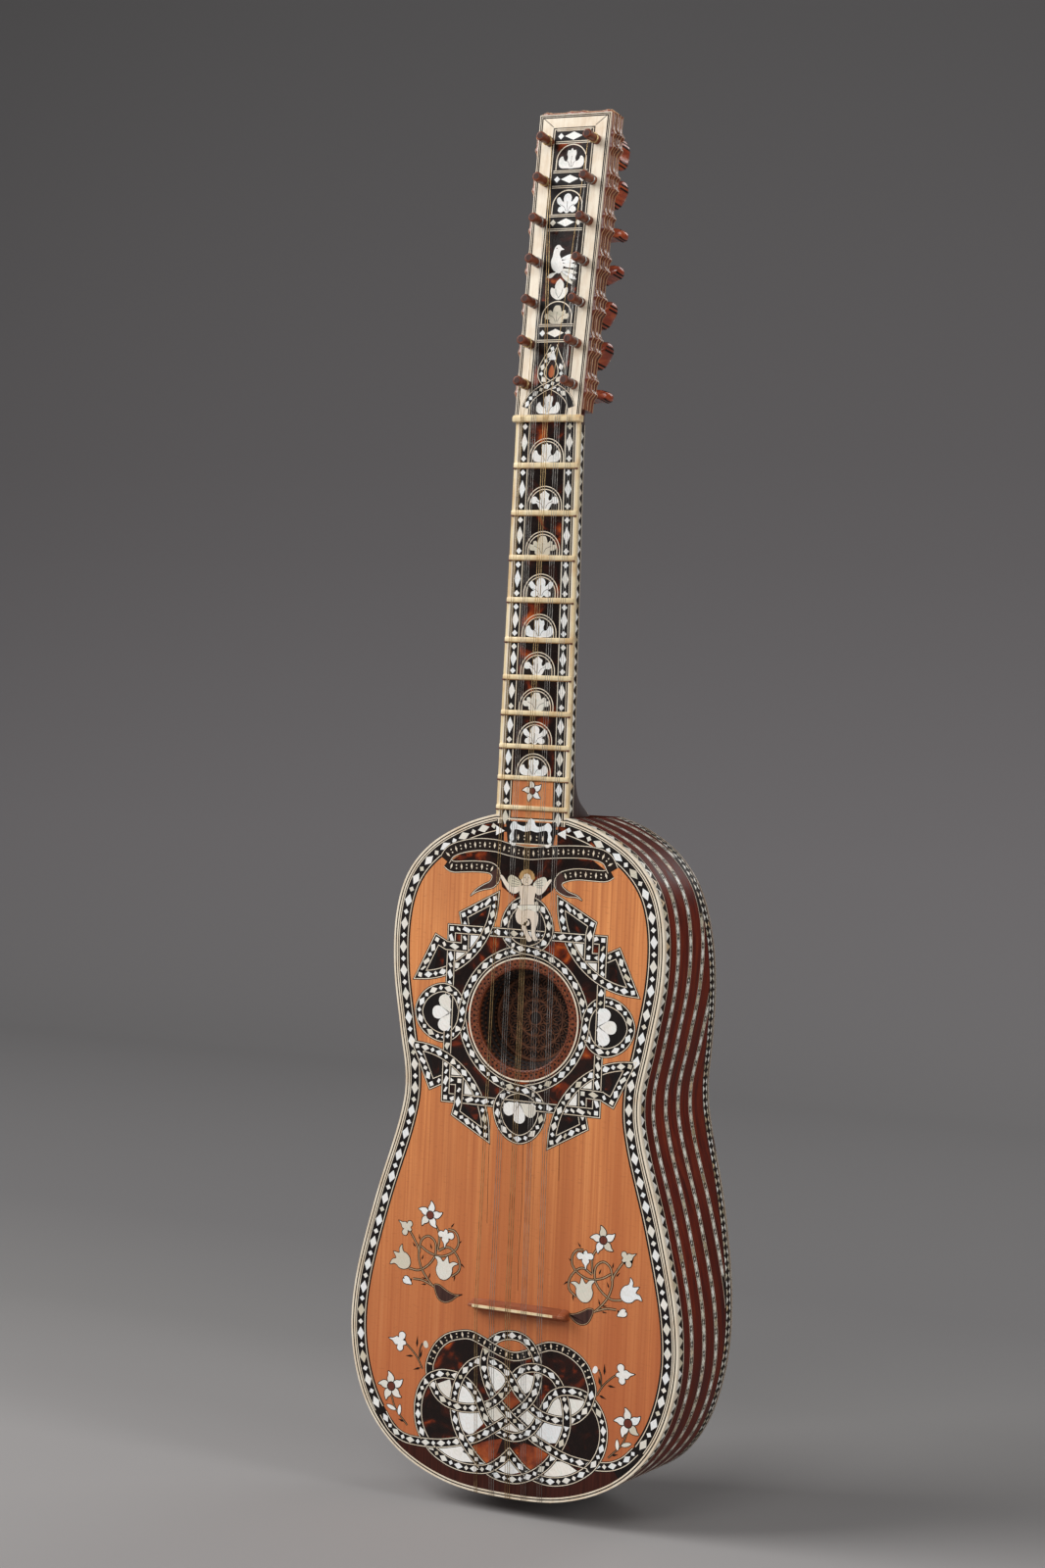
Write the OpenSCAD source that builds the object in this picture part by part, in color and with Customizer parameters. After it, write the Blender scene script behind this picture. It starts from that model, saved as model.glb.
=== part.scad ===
// Wire-strung baroque guitar with a long waisted body, vaulted striped back and fourteen friction pegs.
// X runs across the body, Y from the table towards the back, Z along the strings towards the head.
// Lengths are in millimetres. The working coordinates start at the tail edge, on the face of the table,
// and place() moves them so that the origin is on the centreline at the nut, where a hanger holds the neck.

/* [Strings and neck] */
// Vibrating string length, from the bridge to the nut
string_length = 590; // [580:1:600]
// Height of the bridge line above the tail edge
bridge_z = 126; // [120:1:132]
// Number of fixed frets
fret_count = 10; // [6:1:10]
// Half-width of the fingerboard at the nut
neck_half_nut = 23.4; // [22:0.1:25]
// Depth of the neck behind the fingerboard at the nut
neck_depth = 18.5; // [16:0.5:22]
// Height of the nut above the fingerboard
nut_rise = 3.2; // [2:0.1:4]

/* [Head] */
// Length of the head
head_length = 203; // [200:1:208]
// Backward lean of the head, degrees
head_lean = 6.5; // [4:0.5:10]
// Thickness of the head
head_thick = 15.5; // [14:0.5:17]
// Distance of each peg column from the centreline
peg_x = 17.2; // [16.8:0.1:17.6]
// Spacing of the pegs along the head
peg_pitch = 27.4; // [26:0.1:28]
// Radius of a peg's shank
peg_r = 3.2; // [3:0.1:3.4]
// Radial clearance of a peg in its hole
peg_clearance = 0.05; // [0.02:0.01:0.09]

/* [Body] */
// Thickness of the table
table_thick = 2.6; // [2:0.1:3]
// Thickness of the sides and of the back staves
wall = 2.2; // [1.8:0.1:2.6]
// Greatest depth of the body along the centreline
crown_depth = 141; // [135:1:145]
// Radius of the soundhole
hole_r = 36; // [34:0.5:38]
// Height of the soundhole's centre above the tail edge
hole_z = 317.3; // [312:0.5:322]
// Height of the bridge
bridge_rise = 8.8; // [7:0.1:10]

/* [Hidden] */
$fn = 48;

nut_z = bridge_z + string_length;
nut_height = 4.7;
nut_foot_z = nut_z - nut_height;
head_y = -1;
gap = 0.1;
far = 400;

// ---- body outline -------------------------------------------------------------------------------

// Half-outline of the body from the tail centre to the neck: [half-width, height]
body_curve = [
    [0, 0], [44, 3.7], [82, 20], [108, 48], [121, 87], [120.7, 130], [107.5, 188], [91, 243],
    [87.5, 272], [93.5, 306], [100, 346], [100, 381], [92.5, 408.5], [76, 429], [52, 443.5], [26.6, 452]
];
body_top = body_curve[len(body_curve) - 1][1];
curve_steps = 5;
curve_ends = concat([[-44, 3.7]], body_curve, [[0, 456]]);

function catmull(a, b, c, d, t) =
    0.5 * (2 * b + (c - a) * t + (2 * a - 5 * b + 4 * c - d) * t * t
        + (3 * b - a - 3 * c + d) * t * t * t);

half_outline = concat(
    [for (i = [0 : len(body_curve) - 2]) for (k = [0 : curve_steps - 1])
        catmull(curve_ends[i], curve_ends[i + 1], curve_ends[i + 2], curve_ends[i + 3], k / curve_steps)],
    [body_curve[len(body_curve) - 1]]
);
half_last = len(half_outline) - 1;
outline = concat(
    half_outline,
    [for (i = [half_last : -1 : 1]) [-half_outline[i][0], half_outline[i][1]]]
);
width_table = [for (p = half_outline) [p[1], p[0]]];

function body_half(z) = lookup(z, width_table);
function left_normal(a, b) = [a[1] - b[1], b[0] - a[0]] / norm(b - a);
function inward(points, d) = [
    for (i = [0 : len(points) - 1])
        let (n = len(points), here = points[i],
            n1 = left_normal(points[(i + n - 1) % n], here),
            n2 = left_normal(here, points[(i + 1) % n]),
            m = (n1 + n2) / norm(n1 + n2))
        here + m * d / (m * n1)
];

// ---- vaulted back -------------------------------------------------------------------------------

stave_count = 7;
crown_z = 180;
fall_to_neck = 0.00078;
fall_to_tail = 0.00109;
arch = 0.0035;

function vault_depth(z) =
    crown_depth - (z > crown_z ? fall_to_neck : fall_to_tail) * (z - crown_z) * (z - crown_z);
function back_y(x, z) = vault_depth(z) - arch * x * x;
function side_y(p) = back_y(p[0], p[1]) - wall - gap;

// ---- side bands: depth of each boundary ------------------------------------------------------------

binding_width = 2.5;
border_width = 9;
border_thick = 0.8;
edge_strip_y = 9.5;
line_width = 5.5;
line_pitch = 19;
first_line_y = 18.75;
rear_strip_width = 8;
lining_thick = 4;

function line_y(k) = first_line_y + (k - 1) * line_pitch;
function rib_start(k) = k == 1 ? edge_strip_y : line_y(k - 1) + line_width;
function rib_end(k) = k == 5 ? far : line_y(k);

// ---- neck and frets ---------------------------------------------------------------------------------

neck_taper = 0.01197;
neck_binding = 1.8;
tongue_z = bridge_z + string_length * pow(2, -9 / 12);
fret_rise = 1.2;
fret_bar = 3.8;
heel_steps = [[452, 76], [455, 70], [459, 58], [464, 45], [471, 34], [482, 27], [500, 23.5], [560, 21]];

function fret_z(n) = bridge_z + string_length * pow(2, -n / 12);
function neck_half(z) = neck_half_nut + (nut_z - z) * neck_taper;
function lean_z(y) = nut_z - (y - head_y) * tan(head_lean);

// ---- head ---------------------------------------------------------------------------------------------

face_thick = 1.6;
face_half_nut = 24;
face_half_top = 26.4;
core_inset = 4.5;
scallop_period = peg_pitch;
edge_start = 4;
edge_layers = [[1.6, 6.2, 3.4], [6.2, 10.8, 5.2], [10.8, head_thick, 4.4]];
first_peg = 20;

function face_half(s) = face_half_nut + (face_half_top - face_half_nut) * s / head_length;
function scallop(s) = pow(abs(cos(180 * (s - first_peg) / scallop_period)), 0.7);
function peg_s(row) = first_peg + (row - 1) * peg_pitch;

// ---- pegs ---------------------------------------------------------------------------------------------

post_length = 15;
collar_r = 4.6;
collar_length = 2.6;
grip_length = 29;
grip_width = 21;
grip_thick = 8;
left_turns = [20, 70, 0, 45, 90, 30, 60];
right_turns = [0, 118, 118, 155, 0, 115, 95];

// ---- strings ------------------------------------------------------------------------------------------

string_counts = [2, 3, 3, 3, 3];
strand_gap = 1.6;
nut_pitch = 8.75;
bridge_pitch = 11.9;
bridge_mid = 2;
tail_pitch = 12;
tail_mid = 3;
brass_r = 0.28;
steel_r = 0.22;
string_sides = 8;
wind_lift = 4;
pin_r = 0.6;
pin_reach = 3;
pin_y = 12.2;
lane_x = 13.1;

function strand(course, k) = (k - (string_counts[course - 1] - 1) / 2) * strand_gap;
function first_of(course) = course == 1 ? 0 : first_of(course - 1) + string_counts[course - 2];
function course_x(mid, pitch, course, k) = mid + (course - 3) * pitch + strand(course, k);
function string_r(course) = course == 1 || course == 3 ? brass_r : steel_r;
function row_of(i) = i < 7 ? i + 1 : 14 - i;
function side_of(i) = i < 7 ? -1 : 1;
// the outermost string on each side reaches the outer side of the lowest peg
function post_side(i) = i == 0 || i == 13 ? 1 : -1;
function pin_depth(k) = pin_y + (k == 1 ? 3 : 0);

// a point on the head: across, along the head, and in front of its face
function head_point(x, s, lift) =
    [x, head_y + s * sin(head_lean) - lift * cos(head_lean), nut_z + s * cos(head_lean) + lift * sin(head_lean)];

function string_path(course, k) =
    let (i = first_of(course) + k, r = string_r(course), side = side_of(i), row = row_of(i),
        tail_x = course_x(tail_mid, tail_pitch, course, k),
        edge_z = tail_edge(tail_x),
        nut_x = course_x(0, nut_pitch, course, k),
        end_x = side * (peg_x + post_side(i) * (peg_r + r + 0.15)),
        lift = wind_lift + (row % 3),
        inner = post_side(i) < 0)
    concat(
        [[tail_x, pin_depth(k) - pin_r - r - 0.1, edge_z - r - 0.6],
            [tail_x, 0.4, edge_z - r - 0.3],
            [tail_x, -r - 0.25, edge_z - 0.1],
            [course_x(bridge_mid, bridge_pitch, course, k), -bridge_rise - r - 0.02, bridge_z],
            [nut_x, -nut_rise - r - 0.02, nut_foot_z + nut_height / 2]],
        [for (low = [1 : 1 : 2]) if (inner && row > low && abs(nut_x) > lane_x)
            head_point(side * lane_x, peg_s(low), lift)],
        [head_point(end_x, peg_s(row) + 1, lift)]
    );
function tail_edge(x) = lookup(abs(x), [for (p = half_outline) if (p[1] < 60) [p[0], p[1]]]);

// ---- shared shapes ------------------------------------------------------------------------------------

module place() translate([0, 0, -nut_z]) children();

// a shape drawn in X and Z, made solid from one depth to another
module slab(y0, y1) translate([0, y1, 0]) rotate([90, 0, 0]) linear_extrude(y1 - y0) children();

module ring(y0, y1, d0, d1) slab(y0, y1) difference() {
    polygon(inward(outline, d0));
    polygon(inward(outline, d1));
}

// everything between two distances in front of the back's edge, as seen from the side
module before_edge(from, to) translate([-far / 2, 0, 0]) rotate([90, 0, 90]) linear_extrude(far) polygon(concat(
    [[side_y(half_outline[0]) - from, -1]],
    [for (p = half_outline) [side_y(p) - from, p[1]]],
    [[side_y(half_outline[half_last]) - from, body_top + 1]],
    [[to > 0 ? side_y(half_outline[half_last]) - to : 0, body_top + 1]],
    to > 0 ? [for (i = [half_last : -1 : 0]) [side_y(half_outline[i]) - to, half_outline[i][1]]] : [],
    [[to > 0 ? side_y(half_outline[0]) - to : 0, -1]]
));

module side_band(y0, y1) intersection() {
    ring(y0, y1, 0, wall);
    before_edge(rear_strip_width, 0);
}

module box(lo, hi) translate(lo) cube(hi - lo);

// a tube with a ring of points round every point of its path
module tube(path, r) {
    n = len(path);
    rings = [for (i = [0 : n - 1]) for (j = [0 : string_sides - 1])
        let (t = unit(path[min(i + 1, n - 1)] - path[max(i - 1, 0)]),
            u = unit(cross(t, [0, 1, 0.3])), v = cross(t, u), a = 360 * j / string_sides)
        path[i] + r * (u * cos(a) + v * sin(a))];
    walls = [for (i = [0 : n - 2]) for (j = [0 : string_sides - 1])
        let (a = i * string_sides + j, b = i * string_sides + (j + 1) % string_sides)
        [a, b, b + string_sides, a + string_sides]];
    ends = [[for (j = [string_sides - 1 : -1 : 0]) j],
        [for (j = [0 : string_sides - 1]) (n - 1) * string_sides + j]];
    polyhedron(rings, concat([for (q = walls) [q[0], q[3], q[2], q[1]]], [for (q = ends)
        [for (j = [len(q) - 1 : -1 : 0]) q[j]]]));
}

function unit(v) = v / norm(v);

// ---- front --------------------------------------------------------------------------------------------

module tongue(inset) polygon([
    [-neck_half(body_top) + inset, body_top - 8], [neck_half(body_top) - inset, body_top - 8],
    [neck_half(tongue_z) - inset, tongue_z], [-neck_half(tongue_z) + inset, tongue_z]
]);

module soundboard() color("peru") difference() {
    slab(0, table_thick) difference() {
        union() {
            polygon(inward(outline, binding_width));
            tongue(neck_binding);
        }
        translate([0, hole_z]) circle(hole_r, $fn = 96);
    }
    border_shape(-1);
}

// the inlaid band inside the binding, open where the neck's tongue runs up
module border_shape(y0) slab(y0, border_thick) difference() {
    polygon(inward(outline, binding_width));
    polygon(inward(outline, binding_width + border_width));
    tongue(neck_binding);
}

module table_border() color("black") border_shape(0);

module front_binding() color("ivory") slab(0, table_thick) difference() {
    polygon(outline);
    polygon(inward(outline, binding_width));
    tongue(neck_binding);
}

// ---- sides --------------------------------------------------------------------------------------------

module front_edge_strip() color("dimgray") ring(table_thick, edge_strip_y, 0, wall);

module rib(k) color("saddlebrown") difference() {
    side_band(rib_start(k), rib_end(k));
    if (k == 1) pin_holes();
    if (k == 3) button_hole();
}

module rib_lines() color("darkgray") for (k = [1 : 4]) side_band(line_y(k), line_y(k) + line_width);

module rear_edge_strip() color("gray") intersection() {
    ring(edge_strip_y, far, 0, wall);
    before_edge(0, rear_strip_width);
}

// ---- back ---------------------------------------------------------------------------------------------

stave_columns = 3;
stave_rows = [for (i = [1 : 2 : half_last - 1]) half_outline[i], half_outline[half_last]];

// place of a stave's column across the back, from -1 to 1
function stave_u(k, j) = 2 * (k - 1 + j / (stave_columns - 1)) / stave_count - 1;

module stave(k) color(k % 2 == 1 ? "saddlebrown" : "sienna") {
    rows = len(stave_rows);
    cols = stave_columns;
    layer = rows * cols;
    points = concat(
        [for (i = [0 : rows - 1]) for (j = [0 : cols - 1]) let (p = stave_rows[i], x = stave_u(k, j) * p[0])
            [x, back_y(x, p[1]), p[1]]],
        [for (i = [0 : rows - 1]) for (j = [0 : cols - 1]) let (p = stave_rows[i], x = stave_u(k, j) * p[0])
            [x, back_y(x, p[1]) - wall, p[1]]]
    );
    outer = [for (i = [0 : rows - 2]) for (j = [0 : cols - 2]) let (a = i * cols + j)
        each [[a, a + 1, a + cols + 1], [a, a + cols + 1, a + cols]]];
    inner = [for (t = outer) [t[2] + layer, t[1] + layer, t[0] + layer]];
    long_edges = [for (i = [0 : rows - 2]) let (a = i * cols, b = a + cols - 1)
        each [[a, a + cols, a + cols + layer], [a, a + cols + layer, a + layer],
            [b, b + layer, b + cols + layer], [b, b + cols + layer, b + cols]]];
    short_edges = [for (j = [0 : cols - 2]) let (a = j, b = (rows - 1) * cols + j)
        each [[a, a + layer, a + 1 + layer], [a, a + 1 + layer, a + 1],
            [b, b + 1, b + 1 + layer], [b, b + 1 + layer, b + layer]]];
    polyhedron(points, concat(outer, inner, long_edges, short_edges));
}

// ---- inside -------------------------------------------------------------------------------------------

block_depth_top = 74;
block_depth_tail = 92;

module block_rooms() {
    box([-26, 0, body_top - 34], [26, far, body_top + 1]);
    box([-31, 0, -1], [31, far, 22]);
}

module lining_front() color("burlywood") difference() {
    ring(table_thick, edge_strip_y, wall, wall + lining_thick);
    block_rooms();
}

module lining_back() color("burlywood") difference() {
    intersection() {
        ring(edge_strip_y, far, wall, wall + lining_thick);
        before_edge(0, rear_strip_width);
    }
    block_rooms();
}

module neck_block() color("tan") intersection() {
    slab(table_thick, block_depth_top) polygon(inward(outline, wall));
    box([-25, 0, body_top - 33], [25, far, body_top + 1]);
}

module tail_block() color("tan") difference() {
    intersection() {
        slab(table_thick, block_depth_tail) polygon(inward(outline, wall));
        box([-30, 0, -1], [30, far, 20]);
    }
    pin_holes();
    button_hole();
}

brace_thick = 6;
brace_height = 13;
table_brace_z = [215, 268, 366];
back_brace_z = [140, 238, 330];

function brace_half(z) = min(body_half(z), body_half(z + brace_thick)) - wall - lining_thick - 0.5;

module table_braces() color("wheat") for (z = table_brace_z)
    box([-brace_half(z), table_thick, z], [brace_half(z), table_thick + brace_height, z + brace_thick]);

module back_braces() color("wheat") for (z = back_brace_z) {
    half = brace_half(z);
    foot = min(vault_depth(z), vault_depth(z + brace_thick)) - wall - gap;
    translate([0, 0, z]) linear_extrude(brace_thick) polygon(concat(
        [for (i = [-8 : 8]) let (x = half * i / 8) [x, foot - arch * x * x]],
        [for (i = [8 : -1 : -8]) let (x = half * i / 8) [x, foot - arch * x * x - brace_height]]
    ));
}

// ---- rose ---------------------------------------------------------------------------------------------

rose_depth = 18;
rose_floor_r = 29;

// a shape drawn as radius and depth, turned about the soundhole's axis
module turned(points) translate([0, 0, hole_z]) rotate([-90, 0, 0]) rotate_extrude($fn = 96) polygon(points);

module rose_rim() color("sienna")
    turned([[hole_r - 2.4, 0.2], [hole_r - 0.02, 0.2], [hole_r - 0.02, table_thick], [hole_r - 2.4, table_thick]]);

module rose_cup() color("saddlebrown") turned([
    [hole_r - 3, table_thick], [hole_r + 3.5, table_thick], [hole_r + 3.5, table_thick + 1.2],
    [hole_r - 1.5, table_thick + 1.2], [rose_floor_r + 2.2, rose_depth + 1.2],
    [rose_floor_r + 0.02, rose_depth + 1.2], [rose_floor_r + 0.02, rose_depth]
]);

module rose_disc() color("maroon") translate([0, 0, hole_z]) rotate([-90, 0, 0]) difference() {
    translate([0, 0, rose_depth]) cylinder(h = 1.2, r = rose_floor_r, $fn = 96);
    for (tier = [[7, 6, 2.2], [14.5, 12, 2.6], [23, 18, 2.8]]) for (i = [1 : tier[1]])
        rotate(360 * i / tier[1]) translate([tier[0], 0, rose_depth - 1]) cylinder(h = 4, r = tier[2], $fn = 24);
}

// ---- neck ---------------------------------------------------------------------------------------------

neck_sides = 20;

// one cross-section: flat at the front, rounded behind, pointed at the heel
function neck_section(z, depth, top) = [
    for (j = [0 : neck_sides])
        let (a = 180 * j / neck_sides, heel = max(0, depth - neck_depth - table_thick) / 55,
            x = neck_half(z) * cos(a) * (1 - 0.25 * heel * sin(a)),
            y = table_thick + (depth - table_thick) * pow(sin(a), 0.75 + 0.45 * heel))
        [x, y, top ? lean_z(y) : z]
];

module neck() color("saddlebrown") {
    stations = concat([for (h = heel_steps) neck_section(h[0], h[1], false)],
        [neck_section(640, neck_depth + table_thick - 0.5, false)],
        [neck_section(nut_foot_z, neck_depth + table_thick - 1.5, false)],
        [neck_section(nut_z, neck_depth + table_thick - 1.5, true)]);
    n = neck_sides + 1;
    last = len(stations) - 1;
    points = [for (s = stations) each s];
    walls = [for (i = [0 : last - 1]) for (j = [0 : neck_sides - 1]) let (a = i * n + j)
        each [[a, a + 1, a + n + 1], [a, a + n + 1, a + n]]];
    front = [for (i = [0 : last - 1]) let (a = i * n, b = a + neck_sides)
        each [[b, a, a + n], [b, a + n, b + n]]];
    polyhedron(points, concat(walls, front,
        [[for (j = [neck_sides : -1 : 0]) j]], [[for (j = [0 : neck_sides]) last * n + j]]));
}

module board_shape(z0, z1, inset) polygon([
    [-neck_half(z0) + inset, z0], [neck_half(z0) - inset, z0],
    [neck_half(z1) - inset, z1], [-neck_half(z1) + inset, z1]
]);

module fingerboard() color("black") slab(0, table_thick) board_shape(tongue_z, nut_foot_z, neck_binding);

module fingerboard_binding() color("ivory") slab(0, table_thick) difference() {
    board_shape(body_top, nut_foot_z, 0);
    board_shape(body_top - 1, nut_foot_z + 1, neck_binding);
}

module frets() color("ivory") for (n = [1 : fret_count])
    let (z = fret_z(n), half = neck_half(z) - 0.2, bar = fret_bar - n * 0.08)
        box([-half, -fret_rise, z - bar / 2], [half, 0, z + bar / 2]);

module nut() color("ivory") translate([-25, 0, 0]) rotate([90, 0, 90]) linear_extrude(50) polygon([
    [table_thick, nut_foot_z], [-nut_rise + 0.8, nut_foot_z], [-nut_rise, nut_foot_z + 1.4],
    [-nut_rise, nut_foot_z + 3], [-nut_rise + 1, lean_z(-nut_rise + 1) - 1.4],
    [head_y - 0.2, lean_z(head_y - 0.2)], [table_thick, lean_z(table_thick)]
]);

// ---- head ---------------------------------------------------------------------------------------------

// moves a shape drawn as across and along the head, with depth behind its face, into place
module on_head() translate([0, head_y, nut_z]) rotate([-head_lean, 0, 0]) children();

module peg_holes() for (side = [-1, 1]) for (row = [1 : 7])
    translate([side * peg_x, 0, peg_s(row)]) rotate([-90, 0, 0])
        translate([0, 0, -5]) cylinder(h = 40, r = peg_r + peg_clearance);

module head_plate(y0, y1, inset) on_head() difference() {
    slab(y0, y1) polygon([
        [-face_half(0) + inset, 0], [face_half(0) - inset, 0],
        [face_half(head_length) - inset, head_length - inset], [-face_half(head_length) + inset, head_length - inset]
    ]);
    peg_holes();
}

module head_face() color("ivory") head_plate(0, face_thick, 0);
module head_core() color("saddlebrown") head_plate(face_thick, head_thick, core_inset);

scallop_step = 2;

module edge_outline(swell) {
    side_steps = [for (s = [edge_start : scallop_step : head_length]) s];
    top_steps = [for (x = [-20 : scallop_step : 20]) x];
    polygon(concat(
        [[-face_half(0) + core_inset, 0], [face_half(0) - core_inset, 0], [face_half(0) - 1, 1]],
        [for (s = side_steps) [face_half(s) + swell * (0.35 + 0.65 * scallop(s)), s]],
        [for (i = [len(top_steps) - 1 : -1 : 0])
            [top_steps[i], head_length + swell * (0.5 + 0.3 * scallop(top_steps[i]))]],
        [for (i = [len(side_steps) - 1 : -1 : 0]) let (s = side_steps[i])
            [-face_half(s) - swell * (0.35 + 0.65 * scallop(s)), s]],
        [[-face_half(0) + 1, 1]]
    ));
}

// a moulded layer round both sides and the top of the core, pierced by the pegs
module head_edge(k) {
    layer = edge_layers[k - 1];
    swell = layer[2];
    on_head() difference() {
        slab(layer[0], layer[1]) difference() {
            edge_outline(swell);
            polygon([
                [-face_half(0) + core_inset, -1], [face_half(0) - core_inset, -1],
                [face_half(head_length) - core_inset, head_length - core_inset],
                [-face_half(head_length) + core_inset, head_length - core_inset]
            ]);
        }
        peg_holes();
    }
}

module head_edge_front() color("sienna") head_edge(1);
module head_edge_middle() color("burlywood") head_edge(2);
module head_edge_back() color("sienna") head_edge(3);

// ---- pegs ---------------------------------------------------------------------------------------------

// the flat thumb grip, widening from the stem to a rounded end
grip_shape = [
    [-3, 0], [3, 0], [3, 8], [5.6, 9.6], [9.2, 12.4], [grip_width / 2, 16.5], [grip_width / 2, 21], [8.4, 25],
    [4.8, 27.8], [0, grip_length], [-4.8, 27.8], [-8.4, 25], [-grip_width / 2, 21], [-grip_width / 2, 16.5],
    [-9.2, 12.4], [-5.6, 9.6], [-3, 8]
];

module peg(side, row, turn) color("firebrick") on_head()
    translate([side * peg_x, 0, peg_s(row)]) rotate([-90, 0, 0]) {
        translate([0, 0, 1 - post_length]) cylinder(h = post_length - 1 + head_thick + 0.1, r = peg_r);
        translate([0, 0, -post_length]) cylinder(h = 1, r1 = peg_r - 0.8, r2 = peg_r);
        translate([0, 0, head_thick + 0.1]) {
            cylinder(h = collar_length, r = collar_r);
            translate([0, 0, collar_length]) rotate(turn) translate([0, grip_thick / 2, 0])
                rotate([90, 0, 0]) linear_extrude(grip_thick) polygon(grip_shape);
        }
    }

// ---- bridge, tail fittings and strings ----------------------------------------------------------------

bridge_mid_x = 7;
bridge_length = 72.5;
bridge_foot = 4.5;

module bridge() color("chocolate") translate([bridge_mid_x - bridge_length / 2, 0, bridge_z])
    rotate([90, 0, 90]) linear_extrude(bridge_length) polygon([
        [0, -bridge_foot], [-1.6, -bridge_foot], [-5.6, -2.6], [-bridge_rise + 0.5, -1.3], [-bridge_rise, -0.4],
        [-bridge_rise, 0.4], [-bridge_rise + 0.5, 1.3], [-5.6, 2.6], [-1.6, bridge_foot], [0, bridge_foot]
    ]);

button_y = 50;
button_shank_r = 3;
button_r = 4;
button_length = 9;

module button_hole() translate([0, button_y, -5]) cylinder(h = 20, r = button_shank_r + 0.02);

module end_button() color("black") translate([0, button_y, 0]) {
    translate([0, 0, -0.1]) cylinder(h = 12, r = button_shank_r);
    translate([0, 0, -1.6]) cylinder(h = 1.5, r = 6);
    translate([0, 0, -1.6 - button_length]) cylinder(h = button_length, r = button_r);
    translate([0, 0, -2.6 - button_length]) cylinder(h = 1, r1 = button_r - 1, r2 = button_r);
}

module at_pins() for (course = [1 : 5]) for (k = [0 : string_counts[course - 1] - 1])
    let (x = course_x(tail_mid, tail_pitch, course, k))
        translate([x, pin_depth(k), tail_edge(x) - pin_reach]) children();

module pin_holes() at_pins() cylinder(h = 12, r = pin_r + 0.02, $fn = 16);
module hitch_pins() color("goldenrod") at_pins() cylinder(h = pin_reach + 7, r = pin_r, $fn = 16);

module course(n) color(string_r(n) == brass_r ? "gold" : "silver") for (k = [0 : string_counts[n - 1] - 1])
    tube(string_path(n, k), string_r(n));

// ---- nodes --------------------------------------------------------------------------------------------

place() soundboard();
place() table_border();
place() front_binding();
place() front_edge_strip();
for (k = [1 : 5]) place() rib(k);
place() rib_lines();
place() rear_edge_strip();
for (k = [1 : stave_count]) place() stave(k);
place() lining_front();
place() lining_back();
place() neck_block();
place() tail_block();
place() table_braces();
place() back_braces();
place() rose_rim();
place() rose_cup();
place() rose_disc();
place() neck();
place() fingerboard();
place() fingerboard_binding();
place() frets();
place() nut();
place() head_core();
place() head_face();
place() head_edge_front();
place() head_edge_middle();
place() head_edge_back();
place() bridge();
place() hitch_pins();
place() end_button();
for (n = [1 : 5]) place() course(n);
for (row = [1 : 7]) {
    place() peg(-1, row, left_turns[row - 1]);
    place() peg(1, row, right_turns[row - 1]);
}
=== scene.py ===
"""Looks of the wire-strung baroque guitar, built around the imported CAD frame.

Shapes are worked out in millimetres from the tail edge of the table: x across the body, y from the face of
the table towards the back, z along the strings. spot() turns such a point into metres in the shared frame.
"""

import math

import bpy
import numpy as np
from mathutils import Matrix, Vector


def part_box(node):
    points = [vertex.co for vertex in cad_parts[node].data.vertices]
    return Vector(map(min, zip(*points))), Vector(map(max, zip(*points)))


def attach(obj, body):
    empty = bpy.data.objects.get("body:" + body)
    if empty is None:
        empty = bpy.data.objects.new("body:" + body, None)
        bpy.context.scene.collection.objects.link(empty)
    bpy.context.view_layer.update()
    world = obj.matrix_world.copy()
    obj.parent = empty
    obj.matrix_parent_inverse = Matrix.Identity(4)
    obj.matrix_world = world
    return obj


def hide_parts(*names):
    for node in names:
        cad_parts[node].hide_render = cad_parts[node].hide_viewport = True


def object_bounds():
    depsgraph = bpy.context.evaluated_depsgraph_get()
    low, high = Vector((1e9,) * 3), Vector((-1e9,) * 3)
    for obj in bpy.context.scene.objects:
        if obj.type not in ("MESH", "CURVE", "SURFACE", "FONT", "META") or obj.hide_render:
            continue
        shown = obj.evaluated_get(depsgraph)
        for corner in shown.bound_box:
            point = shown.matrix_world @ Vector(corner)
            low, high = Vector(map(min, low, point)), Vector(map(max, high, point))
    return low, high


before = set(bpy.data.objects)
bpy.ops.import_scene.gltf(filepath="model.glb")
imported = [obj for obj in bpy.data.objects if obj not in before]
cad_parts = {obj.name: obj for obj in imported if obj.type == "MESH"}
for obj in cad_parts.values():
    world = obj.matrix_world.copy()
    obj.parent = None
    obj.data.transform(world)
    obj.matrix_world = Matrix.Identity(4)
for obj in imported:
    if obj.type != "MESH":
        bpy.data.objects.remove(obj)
cad_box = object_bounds()

MM = 0.001
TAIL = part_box("front_binding")[0].z
GUITAR = "guitar"

# ---- sizes shared with the CAD source ------------------------------------------------------------

STRING_LENGTH = 590.0
BRIDGE_Z = 126.0
NUT_Z = -TAIL / MM
NUT_THICK = 4.7
NUT_FOOT_Z = NUT_Z - NUT_THICK
NUT_RISE = 3.2
HEAD_Y = -1.0
HEAD_LEAN = math.radians(6.5)
HEAD_LENGTH = 203.0
HEAD_THICK = 15.5
PEG_X = 17.2
FIRST_PEG = 20.0
PEG_PITCH = 27.4
PEG_R = 3.2
TABLE_THICK = 2.6
WALL = 2.2
SIDE_GAP = 0.1
CROWN_DEPTH = 141.0
CROWN_Z = 180.0
HOLE_R = 36.0
HOLE_Z = 317.3
FRET_COUNT = 10
BODY_CURVE = [
    (0, 0), (44, 3.7), (82, 20), (108, 48), (121, 87), (120.7, 130), (107.5, 188), (91, 243),
    (87.5, 272), (93.5, 306), (100, 346), (100, 381), (92.5, 408.5), (76, 429), (52, 443.5), (26.6, 452),
]


def spot(x, y, z):
    return Vector((x * MM, y * MM, TAIL + z * MM))


def fret_z(n):
    return BRIDGE_Z + STRING_LENGTH * 2 ** (-n / 12)


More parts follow.
